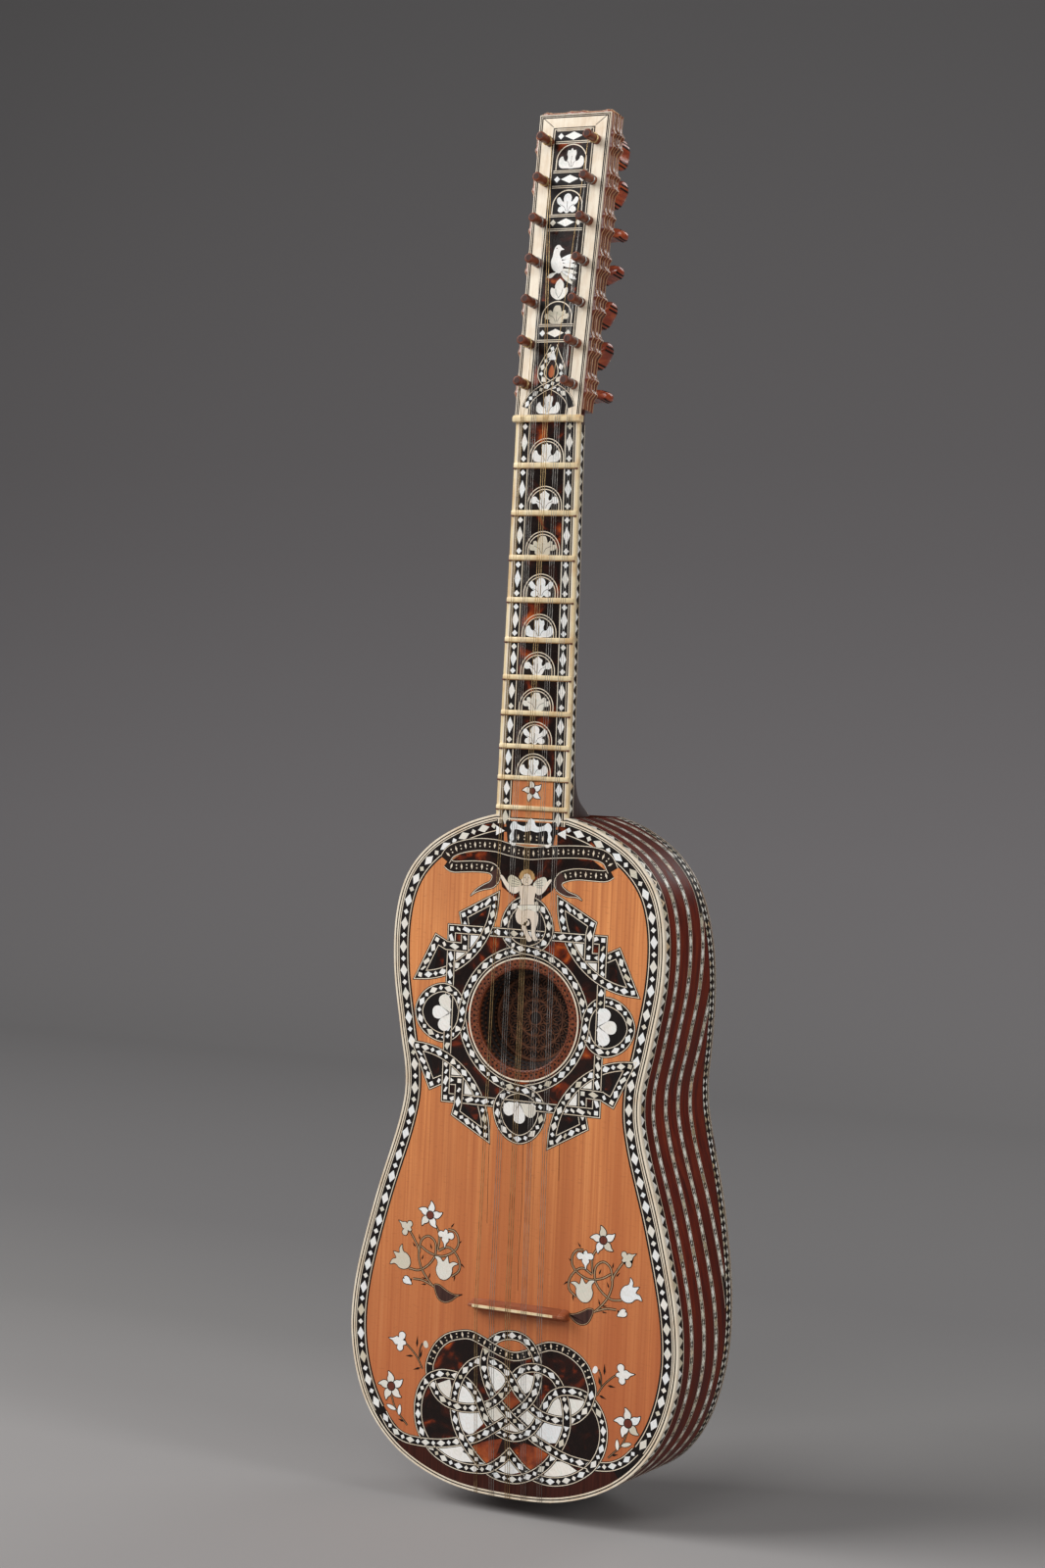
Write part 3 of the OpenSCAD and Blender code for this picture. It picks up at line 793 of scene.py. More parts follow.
# half outlines of the palmettes, from the foot up to the tip, on a unit frame
PALMETTES = [
    [(0.10, 0.0), (0.35, 0.02), (0.75, 0.04), (0.98, 0.18), (1.0, 0.42), (0.86, 0.58), (0.70, 0.60),
     (0.62, 0.46), (0.46, 0.36), (0.34, 0.40), (0.30, 0.54), (0.37, 0.72), (0.30, 0.90), (0.14, 0.88),
     (0.0, 1.0)],
    [(0.12, 0.0), (0.30, 0.02), (0.42, 0.16), (0.55, 0.34), (0.80, 0.32), (0.98, 0.40), (0.96, 0.56),
     (0.80, 0.68), (0.60, 0.66), (0.46, 0.52), (0.32, 0.50), (0.28, 0.62), (0.34, 0.80), (0.18, 0.88),
     (0.0, 1.02)],
    [(0.10, 0.0), (0.36, 0.0), (0.54, 0.08), (0.56, 0.22), (0.84, 0.24), (0.98, 0.38), (0.90, 0.54),
     (0.70, 0.52), (0.68, 0.68), (0.50, 0.72), (0.36, 0.62), (0.30, 0.80), (0.18, 0.96), (0.0, 0.98)],
    [(0.08, 0.0), (0.24, 0.10), (0.46, 0.02), (0.72, 0.12), (0.66, 0.30), (0.50, 0.36), (0.78, 0.52),
     (0.86, 0.74), (0.66, 0.84), (0.46, 0.66), (0.30, 0.58), (0.32, 0.80), (0.20, 0.96), (0.0, 1.02)],
]


def palmette(work, cx, cz, width, height, kind, lift=PEARL):
    half = smooth([(p[0] * width / 2, p[1] * height) for p in PALMETTES[kind % 4]], steps=3)
    shape = placed(half + mirrored(half)[1:], cx, cz)
    work.plate(shape, "pearl", lift)
    for lean in (-1, 0, 1):
        top = Vector((cx + lean * 0.30 * width, cz + (0.46 if lean else 0.62) * height))
        foot = Vector((cx + lean * 0.04 * width, cz + 0.08 * height))
        bend = foot.lerp(top, 0.5) + Vector((-lean * 0.05 * width, 0.05 * height))
        work.ribbon(Path(smooth([foot, bend, top], steps=4)), 0.13, -0.13, "mastic", lift + 0.02)


# outlines of a petal and three blossoms on a unit frame
PETAL = [(0.0, 0.18), (0.22, 0.34), (0.30, 0.60), (0.16, 0.88), (-0.10, 1.10), (-0.12, 0.86), (-0.24, 0.60),
         (-0.20, 0.34)]


def star_flower(work, cx, cz, size, petals=5, turn=0.0):
    for i in range(petals):
        shape = rounded(placed(PETAL, cx, cz, size, turn + 360 * i / petals))
        outlined(work, shape, "pearl", edge=0.5)
    work.plate(circle(cx, cz, 0.36 * size, 16), "mastic", TOP + 0.01)
    work.plate(circle(cx, cz, 0.29 * size, 16), "centre", TOP + 0.04)


TULIP = [(0.0, -0.95), (0.34, -0.86), (0.66, -0.52), (0.76, -0.10), (0.70, 0.22), (0.86, 0.50),
         (1.12, 0.70), (0.70, 0.72), (0.40, 0.50), (0.26, 0.66), (0.10, 1.02), (-0.08, 0.66), (-0.24, 0.50),
         (-0.56, 0.74), (-1.02, 0.70), (-0.74, 0.44), (-0.66, 0.14), (-0.72, -0.22), (-0.56, -0.62),
         (-0.28, -0.88)]
TREFOIL = [(0.0, -1.1), (0.12, -0.66), (0.38, -0.30), (0.34, -0.04), (0.74, -0.08), (0.96, 0.24),
           (0.78, 0.58), (0.40, 0.56), (0.20, 0.40), (0.12, 0.72), (-0.14, 0.80), (-0.30, 0.52),
           (-0.66, 0.56), (-0.92, 0.28), (-0.74, -0.06), (-0.36, -0.06), (-0.42, -0.32), (-0.14, -0.66)]
BUD = [(0.0, -1.0), (0.40, -0.40), (0.62, 0.10), (0.50, 0.62), (0.12, 0.78), (0.0, 0.50), (-0.24, 0.80),
       (-0.62, 0.48), (-0.60, 0.0), (-0.34, -0.5)]


def bloom(work, shape, cx, cz, size, turn, flip):
    outlined(work, rounded(placed(shape, cx, cz, size, turn, flip)), "pearl")


def stem(work, points, width=1.0):
    path = Path(smooth(points, steps=6))
    work.ribbon(path, width / 2 + 0.35, -width / 2 - 0.35, "mastic", 0.10)
    work.ribbon(path, width / 2 - 0.12, -width / 2 + 0.12, "stem", 0.12)


def spine(work, x, z, angle, length=4.2, width=1.1):
    """A small pointed leaf."""
    shape = [(0, 0), (0.35, 0.5 * width / length), (1.0, 0), (0.35, -0.5 * width / length)]
    work.plate(placed(shape, x, z, length, angle), "mastic", 0.11)

# ---- inlay of the table --------------------------------------------------------------------------

# the knotwork below the bridge: its ground, the scroll over it, three bands and the plates in the gaps
KNOT_GROUND = [
    (-64, 31), (-67.5, 46), (-67.5, 54.5), (-65.4, 64), (-60.5, 74), (-59.3, 83.4), (-55, 92.7),
    (-48, 99.5), (-39, 103), (-30, 104.5), (-20, 101), (-9, 96.5), (3.5, 94), (14.7, 97.5), (22, 101.5),
    (29.5, 104.5), (39, 104), (48.4, 100.3), (55.8, 94.5), (60, 87.5), (62, 80), (64, 71), (68, 65),
    (71.3, 56), (71, 44.5), (68, 31), (56.8, 23), (45, 18), (31.6, 15), (16, 14), (3, 12), (-10, 14.5),
    (-23.6, 15), (-40, 17), (-53, 22.5),
]
SCROLL = [
    (-60, 77), (-59.3, 83.4), (-55, 92.7), (-48, 99.5), (-39.3, 103), (-30, 104.3), (-20.7, 101.5),
    (-8, 96.5), (3.5, 94.3), (14.7, 97.6), (21, 101.3), (29.5, 104.5), (39, 104), (48.4, 100.3),
    (55.8, 94.5), (59.5, 87.6), (62, 80),
]
KNOT_THROUGH = [
    (-94.5, 43), (-88, 34.6), (-80, 29.7), (-71.6, 28), (-60, 28), (-49.5, 29), (-40.5, 31), (-32, 33.4),
    (-23.7, 36), (-16.5, 40), (-9, 45), (-2.6, 49.5), (3.7, 54.5), (10, 60), (15.5, 65.5), (19.5, 71.8),
    (21.6, 78.7), (22, 87), (20.5, 95), (16.5, 102), (10.5, 106.6), (3.2, 108.2), (-5.3, 107),
    (-11.8, 103.4), (-16.6, 98), (-18.8, 90), (-18.4, 82.4), (-15.8, 74.5), (-11.6, 67), (-5, 60.5),
    (3, 54), (12, 48), (20.5, 42.4), (28, 39), (38, 35), (47.4, 32.4), (56.8, 31.3), (64.7, 30.8),
    (73, 31.3), (80, 33), (87.6, 37.2), (95, 44.6),
]
KNOT_LOOPS = [
    (62, 80), (61, 74), (58.4, 67), (53.2, 61.3), (47.4, 58), (39, 56.6), (31.6, 57), (25, 58.5),
    (19, 61.5), (12.6, 66.6), (6.8, 72), (2, 79), (-3, 84.5), (-9.3, 87.7), (-17, 89), (-24.3, 87.4),
    (-30.7, 83), (-36, 75.5), (-39.3, 66.3), (-40.4, 57), (-39.5, 49), (-36.8, 41), (-32, 33.5),
    (-26, 26.6), (-19.3, 20.5), (-13, 16.5), (-6.4, 14), (1, 13), (9, 13.4), (16, 15.7), (22, 19),
    (27, 22.8), (32, 27.6), (37.4, 35.3), (41.6, 43), (44.2, 51), (44.5, 58), (43.7, 65), (41.4, 73),
    (37.4, 80.6), (31.6, 86), (23, 88.8), (14.7, 88.2), (8, 85), (3, 79), (-1.6, 71.5), (-7, 65.2),
    (-12, 61), (-17, 58.6), (-24, 56.3), (-32.5, 55.2), (-40, 55.7), (-48, 58), (-54, 62.7), (-58, 70),
    (-60, 77),
]
KNOT_LOBES = [
    (3, 30), (-3, 24), (-10, 18.8), (-16, 16.5), (-24, 15.6), (-32, 15.6), (-40, 17), (-47.5, 19.7),
    (-55, 24), (-61, 30), (-65.4, 37.5), (-67.5, 46), (-67.5, 55), (-65.2, 64), (-60, 71.5), (-52, 75.4),
    (-44.3, 76), (-36.8, 75), (-29.6, 71.3), (-23.8, 65.5), (-19.5, 58), (-16, 51), (-10.4, 45.5),
    (-2, 41.8), (6, 41), (14, 43.8), (20.5, 49.7), (24.7, 57.2), (28, 64.5), (32, 71.6), (39, 76),
    (47.4, 77.2), (55.8, 76), (62.5, 72), (67.4, 66), (70.5, 59), (71.6, 52), (71, 44.5), (68.6, 37.5),
    (64, 30), (57, 24), (49, 19.4), (40, 16.6), (31.6, 15.7), (23, 16.9), (15.8, 19.4), (10, 23.6),
    (3, 30),
]
KNOT_PEARLS = [
    [(-56, 66), (-45, 71), (-42, 60), (-50, 60.5)],
    [(-36, 69), (-27, 65), (-25, 59), (-37, 58.5)],
    [(-36, 52), (-20, 54), (-19, 47), (-27, 39), (-33, 42)],
    [(-15, 84), (-6, 83), (-3, 76), (-9, 71), (-14, 76)],
    [(6, 76), (11, 83), (18, 82), (18, 76), (11, 71)],
    [(46, 71), (58, 71), (56, 66), (49, 61.5), (46, 62)],
    [(32, 66), (36, 71), (39, 68), (40, 61), (30, 61.5)],
    [(24, 46), (31, 42), (37, 43), (40, 52.5), (29, 53)],
    [(-14, 54), (-9, 51), (-4, 54.5), (-9, 59)],
    [(11, 55.5), (16, 52), (21, 57), (16, 59.5)],
    [(-1, 46.5), (7, 46), (3, 49.5)],
    [(-3, 19), (3, 25), (9, 19), (3, 17)],
    [(-50, 24), (-42, 27.5), (-30, 28.5), (-26, 21), (-38, 20)],
    [(52, 25), (44, 29), (35, 28), (31, 20), (42, 20.5)],
]
KNOT_SHELL = [
    [(-4, 65), (3, 59.5), (10, 65.5), (3, 72.5)],
    [(-32, 26), (-24, 31), (-13, 36), (-3, 38.5), (-7, 27), (-14, 21), (-22, 22)],
    [(9, 28), (13, 38), (24, 36.5), (34, 32), (28, 25), (19, 21)],
]


def beads(work, path, s0, s1, pitch=3.6, lift=LINE + 0.02, tall=4.2):
    """Plain ornament of tall narrow diamonds and small discs along a scroll."""
    count = int((s1 - s0) / pitch)
    for i in range(count):
        s = s0 + (i + 0.5) * (s1 - s0) / count
        if i % 2:
            for off in (-0.26 * tall, 0.26 * tall):
                q = path.at(s, off)
                work.plate(circle(q.x, q.y, 0.52, 8), "bone", lift)
        else:
            lozenge(work, path, s, 1.5, tall, lift, "bone")


def field(work, corners, finish, grow=1.3):
    """A plate let into the ground, a little larger than the gap it shows through."""
    work.plate(grown(corners, grow), finish, FIELD)


def lay_knot():
    work = Work()
    work.plate(rounded(KNOT_GROUND), "tortoise", GROUND)
    for shape in KNOT_PEARLS:
        field(work, shape, "pearl")
    for shape in KNOT_SHELL:
        field(work, shape, "amber", grow=0.2)
    scroll = Path(smooth(SCROLL, steps=5))
    loops = Path(rounded(KNOT_LOOPS + SCROLL[1:-1], 4), closed=True)
    through = Path(smooth(KNOT_THROUGH, steps=4))
    lobes = Path(smooth(KNOT_LOBES, steps=4)[:-1], closed=True)
    start = loops.length - scroll.length
    weave(work, [loops, through, lobes], plain=[(0, start - 2, loops.length + 2)])
    beads(work, loops, start + 2, loops.length - 2, 4.4, LINE + OVER + 0.02)
    return work


def lay_crescent():
    """The dark field between the knot and the bottom edge, with the border's own band left out."""
    work = Work()
    low = Path(outline.pts, True).moved(2.7)
    inner = [p for p in low.pts if p.y < 30 and abs(p.x) < 84]
    right = sorted([p for p in inner if p.x >= 0], key=lambda p: p.x)
    left = sorted([p for p in inner if p.x < 0], key=lambda p: p.x)
    top = [Vector(p) for p in ((78, 33), (64, 30), (50, 21), (36, 16), (16, 14.5), (3, 12.5), (-10, 15),
                               (-26, 15.5), (-42, 18), (-56, 26), (-66, 31), (-78, 31))]
    work.plate(left + right + top, "tail", 0.02)
    return work


ROSE = Vector((0, HOLE_Z))
RING_R = 45.3
LOOP_R = 16.7
SQUARE = 56.5


def rose_ring():
    """The ring round the hole, which makes a loop outwards on each of its four sides."""
    pts = []
    for side in range(4):
        turn = 90 * side
        pts += [(RING_R, 270 - a + turn) for a in (45, 37, 29)]
        loop = [(-14.5, 43.2), (-5, 45.6), (6, 47.2), (13.5, 52), (LOOP_R, 60), (14.4, 69), (8.6, 76),
                (0, 79.2), (-8.6, 76), (-14.4, 69), (-LOOP_R, 60), (-13.5, 52), (-6, 47.2), (5, 45.6),
                (14.5, 43.2)]
        for x, d in loop:
            pts.append((math.hypot(x, d), 270 + math.degrees(math.atan2(x, d)) + turn))
        pts += [(RING_R, 270 + a + turn) for a in (29, 37)]
    flat = [ROSE + Vector((r * math.cos(math.radians(a)), r * math.sin(math.radians(a)))) for r, a in pts]
    return Path(rounded(flat, 5), closed=True)


def corner_band():
    """The lower left corner piece, from its outer point round the arc and back along the steps."""
    centre = Vector((-81, -80.3))
    bow = arc(centre.x, centre.y, 56.3, 88.5, 1.5, 22)
    steps = [(-48, -66.3), (-46.5, -60), (-46.2, -44.6), (-60, -45), (-67.5, -48.5)]
    return [p for p in bow] + [Vector(p) for p in steps]


def lay_rose():
    work = Work()
    rounds = []
    for k in range(96):
        a = math.radians(360 * k / 96)
        c, s = math.cos(a), math.sin(a)
        out = min(SQUARE / max(abs(c), 1e-6), SQUARE / max(abs(s), 1e-6))
        rounds.append(((HOLE_R + 0.05) * Vector((c, s)), Vector((out * c, out * s))))
    rings = []
    for near, wide in rounds:
        rings.append([on_table(*(ROSE + wide), GROUND), on_table(*(ROSE + near), GROUND),
                      on_table(*(ROSE + near), -0.5), on_table(*(ROSE + wide), -0.5)])
    work.loft(rings, "tortoise", closed=True)
    paths = []
    for sx in (1, -1):
        for sz in (1, -1):
            flip = lambda p: ROSE + Vector((sx * p[0], sz * p[1]))
            path = Path([flip(p) for p in corner_band()], closed=True)
            work.plate(path.pts, "black", GROUND + 0.005)
            paths.append(path)
            for shape, finish in (
                ([(-69, -28.5), (-62, -30.5), (-62, -40.5), (-66, -42)], "tortoise"),
                ([(-43, -60), (-31, -71.5), (-30.5, -62), (-40, -60)], "tortoise"),
                ([(-52.5, -31), (-43, -37.5), (-43, -41), (-52.5, -41)], "pearl"),
                ([(-42, -41.5), (-35, -47), (-31.5, -53), (-42, -53)], "pearl"),
            ):
                work.plate([flip(p) for p in shape], finish, FIELD)
    square = Path([ROSE + Vector(p) for p in ((-SQUARE, -SQUARE), (SQUARE, -SQUARE), (SQUARE, SQUARE),
                                              (-SQUARE, SQUARE))], closed=True)
    ring = rose_ring()
    for side in range(4):
        a = math.radians(90 * side)
        away = Vector((math.sin(a), -math.cos(a)))
        spot_at = ROSE + away * 62.3
        work.plate(circle(spot_at.x, spot_at.y, LOOP_R - 2, 28), "black", GROUND + 0.008)
    weave(work, [ring, square] + paths)
    for radius, thick, finish, lift in ((38.1, 4.0, "lace", 0.05), (40.6, 1.0, "bone", LINE + OVER)):
        work.ribbon(Path(circle(0, HOLE_Z, radius, 72), True), thick / 2, -thick / 2, finish, lift)
    for k in range(60):
        for r, size, shift in ((36.9, 0.85, 0), (39.0, 0.6, 0.5)):
            a = 2 * math.pi * (k + shift) / 60
            hole = circle(r * math.cos(a), HOLE_Z + r * math.sin(a), size, 8)
            work.plate(hole, "mastic", 0.07)
    for side in (0, 1, 3):
        a = math.radians(90 * side)
        away = Vector((math.sin(a), -math.cos(a)))
        turn = 90 * side + 180
        centre = ROSE + away * 55.5
        for lean in (-62, 0, 62):
            drop = [(0, 0), (2.2, 3.4), (4.2, 7.4), (4.0, 11.0), (1.8, 13.0), (-1.8, 13.0), (-4.0, 11.0),
                    (-4.2, 7.4), (-2.2, 3.4)]
            shape = rounded(placed(drop, centre.x, centre.y, 1.0, turn + lean))
            work.plate(shape, "pearl", TOP)
    return work


BANNER = [(-64, 419.5), (-60, 425), (-52, 428.6), (-40, 431), (-26, 431), (-15.5, 429), (-1, 427.3),
          (12, 428.6), (30, 430), (46, 430), (56.4, 427), (61.5, 419.5)]
BANNER_LEFT = [(-62.5, 418), (-58, 415.3), (-50, 415.7), (-40, 416.4), (-28.5, 415.8), (-24.5, 411),
               (-27.3, 405.5), (-33.6, 403), (-39.5, 400), (-43.6, 396.5)]
BANNER_RIGHT = [(60.5, 418), (56, 415.6), (48, 415.5), (34.5, 415.5), (24, 412.5), (22, 407), (28, 402.5),
                (36, 401), (40, 398.5)]
CARTOUCHE = [
    (0, 450.3), (2.3, 449.2), (3.2, 446.4), (5.6, 445.0), (9.5, 446.0), (12.2, 448.0), (14.6, 446.6),
    (15.6, 443.8), (14.4, 441.2), (15.8, 438.0), (14.6, 434.4), (12.6, 436.0), (13.0, 439.4),
    (12.0, 442.6), (8.4, 442.4), (4.4, 441.4), (0, 442.4),
]


def lay_banner():
    work = Work()
    top = Path(smooth(BANNER, steps=5))
    left, right = Path(smooth(BANNER_LEFT, steps=5)), Path(smooth(BANNER_RIGHT, steps=5))
    field = [(-62, 417), (-52, 424), (-30, 428), (-12, 426), (0, 424), (14, 426), (44, 427), (60, 417),
             (44, 417), (30, 418), (20, 414), (18, 404), (8, 396), (-8, 396), (-20, 404), (-22, 414),
             (-30, 418), (-50, 419)]
    work.plate(field, "tortoise", GROUND)
    work.plate([(-34, 444.8), (-20, 447), (-20, 432), (-60, 424), (-44, 438)], "tortoise", 0.02)
    work.plate([(34, 444.8), (20, 447), (20, 432), (60, 424), (44, 438)], "tortoise", 0.02)
    for path, half in ((left, 4.1), (right, 4.1), (top, 4.5)):
        lift = OVER if path is top else 0.0
        full = 1.0 if path is top else 0.60
        body = path.cut(0, path.length * full)
        work.ribbon(body, half, -half, "mastic", BASE + lift)
        for side in (-1, 1):
            work.ribbon(body, side * (half - 0.5) + 0.22, side * (half - 0.5) - 0.22, "bone", LINE + lift)
        beads(work, body, 2.5, body.length - 2.5, lift=LINE + lift + 0.02)
        if path is not top:
            tail = path.cut(path.length * 0.56, path.length)
            n = len(tail.pts)
            width = [half * (1 - 0.86 * (k / (n - 1)) ** 1.2) for k in range(n)]
            for grow, finish, up in ((0.0, "mastic", BASE + 0.01), (-0.45, "bone", BASE + 0.02),
                                     (-0.85, "leaf", BASE + 0.03)):
                up_side = [p + m * max(w + grow, 0.1) for p, m, w in zip(tail.pts, tail.sides, width)]
                low_side = [p - m * max(w + grow, 0.1) for p, m, w in zip(tail.pts, tail.sides, width)]
                work.plate(up_side + low_side[::-1], finish, up)
    work.plate([(-19, 448), (-17, 433), (17, 433), (19, 448)], "black", BASE + OVER)
    shape = smooth(CARTOUCHE, steps=3)
    work.plate(shape + mirrored(shape)[1:-1], "pearl", TOP)
    for side in (-1, 1):
        foot = placed([(0, 0), (2.2, 1.0), (3.2, 3.0), (1.6, 3.4), (0.6, 2.0), (-1.0, 2.2), (-1.4, 0.6)],
                      side * 12.6, 431.6, 1.0, 0, side < 0)
        work.plate(rounded(foot), "pearl", TOP)
    inner = Path([(-11.5, 437.5), (11.5, 437.5)])
    beads(work, inner, 0.0, inner.length, 4.2, BASE + OVER + 0.03)
    work.ribbon(Path([(-15, 433.4), (15, 433.4)]), 0.35, -0.35, "bone", BASE + OVER + 0.03)
    return work


def border_run(side):
    """The middle of the border's band on one side, from above the knot up to the neck."""
    mid = [p for p in Path(half_outline).moved(7.4).pts if p.y > 44 and p.x > 24]
    return Path([Vector((side * p.x, p.y)) for p in mid])


def lay_border():
    work = Work()
    full = Path(outline.pts, True)
    work.ribbon(full.moved(1.75), 0.4, -0.4, "mastic", 0.05)
    work.ribbon(full.moved(2.65), 0.5, -0.5, "bone", 0.06)
    for side in (-1, 1):
        path = border_run(side)
        for off in (-3.35, 3.35):
            work.ribbon(path, off + 0.27, off - 0.27, "bone", 0.06)
        work.ribbon(path, side * 4.4 + 0.45, side * 4.4 - 0.45, "black", 0.05)
        pearl_row(work, path, 15.6, (9.8, 5.4), 3.8, 0.08)
        work.plate([(side * 26, 444.5), (side * 19.5, 441.2), (side * 26, 438)], "pearl", 0.1)
    return work


def flower_spray(work, flip, dx, dz):
    sx = -1 if flip else 1
    put = lambda x, z: (sx * x + dx, z + dz)
    for run in (
        [(-59.5, 133), (-64.2, 137.5), (-69.2, 144), (-71.7, 151), (-72.2, 157), (-75.8, 163.3),
         (-79.5, 168.5)],
        [(-79.2, 143.3), (-71.7, 142.8), (-65, 146.5), (-60, 152.5), (-58.8, 159), (-60.3, 164),
         (-65, 166.6), (-69.6, 164), (-71.5, 159), (-71.3, 155)],
        [(-70.5, 159.2), (-64, 155.6), (-55, 154), (-47, 157), (-42.5, 161.7), (-42, 167.5), (-45, 171.9),
         (-50, 172.8)],
        [(-57, 157.5), (-50, 160.8), (-44.2, 157.8), (-40.4, 151.7), (-40.8, 145.8), (-46, 141.5)],
        [(-61.3, 176.3), (-57.5, 170.8), (-56.6, 165), (-57.5, 158)],
        [(-75.5, 136.6), (-68.3, 136.4), (-61, 134)],
    ):
        stem(work, [put(*p) for p in run])
    for x, z, angle in ((-71.5, 163, 100), (-74.5, 158, 130), (-69.5, 150, 70), (-42.5, 163.5, 40),
                        (-39.5, 151, -40), (-43.5, 142.5, -100), (-65, 137.5, 170), (-63.5, 138, 75),
                        (-65, 134, 185), (-62, 158, 110), (-48, 174, 55), (-76.5, 137, -110)):
        spine(work, *put(x, z), 180 - angle if flip else angle)
    star_flower(work, *put(-64.2, 180.7), 8.6, turn=8 if flip else -8)
    bloom(work, TREFOIL, *put(-51.7, 167.2), 6.4, 4 if flip else -4, flip)
    bloom(work, TREFOIL, *put(-82.6, 171), 5.8, 122 if flip else -122, flip)
    bloom(work, TULIP, *put(-85, 148.4), 7.6, -58 if flip else 58, flip)
    bloom(work, TULIP, *put(-51.9, 146.4), 8.2, 10 if flip else -10, flip)
    bloom(work, BUD, *put(-80, 134.8), 4.0, -60 if flip else 60, flip)
    leaf = [put(*q) for q in ((-59.5, 134.6), (-55.5, 135.4), (-51.5, 133.4), (-47.0, 131.2),
                              (-42.5, 130.2), (-37.0, 130.6), (-41.5, 128.0), (-45.2, 125.0),
                              (-50.0, 123.2), (-54.8, 124.4), (-57.8, 128.4))]
    run = Path(rounded(leaf[::-1] if flip else leaf, 4), True)
    for shrink, finish, lift in ((0.0, "mastic", 0.10), (0.45, "stem", 0.12), (0.85, "leaf", 0.14)):
        work.plate(run.moved(-shrink).pts, finish, lift)


def small_sprig(work, flip):
    sx = -1 if flip else 1
    put = lambda x, z: (sx * x, z)
    stem(work, [put(*p) for p in ((65.5, 77), (69.8, 84), (74.5, 88.8), (78.5, 92))], 0.6)
    stem(work, [put(*p) for p in ((68.5, 83), (68, 90), (66.2, 94.2))], 0.4)
    bloom(work, TREFOIL, *put(84.5, 93.4), 7.0, -98 if flip else 98, flip)
    work.plate(rounded(placed(((0, 0.2), (1.4, 2.0), (3.0, 1.6), (3.4, -0.6), (2.0, -2.6), (0, -2.2)),
                              *put(62, 94), 1.0, 0, flip)), "pearl", TOP)
    stem(work, [put(*p) for p in ((88.6, 56), (85, 47.5), (75.5, 37.5))], 0.6)
    star_flower(work, *put(89, 62), 9.2, turn=10)
    for x, z, angle, length in ((70.5, 91, 92, 7.5), (73, 84.6, -5, 6), (67.5, 84, 100, 6),
                                (67, 77.5, -20, 6), (78, 39.5, 15, 5)):
        spine(work, *put(x, z), 180 - angle if flip else angle, length, 1.6)
    for x, z, angle, length in ((84.8, 46.8, 18, 7.4), (82.2, 43.5, 95, 7.0)):
        leaf = placed(((0, 0), (0.3, 0.17), (0.7, 0.16), (1, 0), (0.7, -0.14), (0.3, -0.15)), *put(x, z),
                      length, 180 - angle if flip else angle)
        outlined(work, rounded(leaf), "pearl", edge=0.35)


def lay_flowers():
    work = Work()
    for points in ([(4.5, 262), (4.0, 230), (4.6, 196), (3.8, 160), (4.2, 138)],
                   [(-21, 262), (-21.6, 226), (-20.8, 180)], [(31, 268), (30.6, 240), (31.2, 214)]):
        work.ribbon(Path(smooth(points, steps=5)), 0.14, -0.14, "mastic", 0.03)
    flower_spray(work, False, 0.0, 0.0)
    flower_spray(work, True, 1.5, -2.0)
    small_sprig(work, False)
    small_sprig(work, True)
    star_flower(work, 0.0, 468.5, 6.8, turn=12)
    return work


# ---- fingerboard ---------------------------------------------------------------------------------


# the long lines of the fingerboard: inset from its edge, half-width, finish, height
BOARD_LINES = [
    (2.2, 0.5, "bone", 0.05), (3.3, 0.6, "mastic", 0.04), (6.9, 3.0, "black", 0.05),
    (3.9, 0.2, "bone", 0.07), (10.1, 0.3, "bone", 0.07), (10.8, 0.4, "mastic", 0.05),
]
BOARD_END = 446
COLUMN_INSET = 6.9
ARCH_COUNT = 9
ARCH_R = 12.6


def fret_bar(n):
    """The width of a fret; they narrow slightly up the neck."""
    return 3.8 - 0.08 * n


def lay_fingerboard():
    work = Work()
    edges = [NUT_FOOT_Z] + [fret_z(n) for n in range(1, FRET_COUNT + 1)] + [444.0]
    for side in (-1, 1):
        line = lambda inset: Path([(side * (neck_half(z) - inset), z) for z in (BOARD_END, NUT_FOOT_Z)])
        for inset, half, finish, lift in BOARD_LINES:
            work.line(line(inset), 0, half, finish, lift)
    for n in range(FRET_COUNT + 1):
        top = edges[n] - (fret_bar(n) / 2 if n else 0)
        low = edges[n + 1] + (fret_bar(n + 1) / 2 if n < FRET_COUNT else 0)
        for side in (-1, 1):
            column = Path([(side * (neck_half(z) - COLUMN_INSET), z) for z in (low, top)])
            room = column.length
            if n < 6:
                for s in (2.6, room - 2.9):
                    lozenge(work, column, s, 4.2, 4.2, 0.1)
                lozenge(work, column, room / 2, min(room - 11.0, 12.0), 5.0, 0.1)
            elif n < FRET_COUNT:
                lozenge(work, column, 2.6, 4.2, 4.2, 0.1)
                lozenge(work, column, (5.4 + room) / 2, min(room - 7.0, 11.0), 5.0, 0.1)
            else:
                lozenge(work, column, room * 0.55, 10.5, 5.0, 0.1)
        if n < ARCH_COUNT:
            spring = low + 3.2 - 0.15 * n
            legs = lambda radius: Path(
                [(radius, low)] + arc(0, spring, radius, 0, 180, 28) + [(-radius, low)])
            inner = legs(ARCH_R - 1.6).pts
            work.plate(inner, "mastic", 0.045)
            for radius in (ARCH_R, ARCH_R - 1.9):
                work.ribbon(legs(radius), 0.3, -0.3, "bone", 0.07)
            palmette(work, 0, low, 20.5, min(13.6, spring + ARCH_R - 2.6 - low), n, 0.1)
    return work


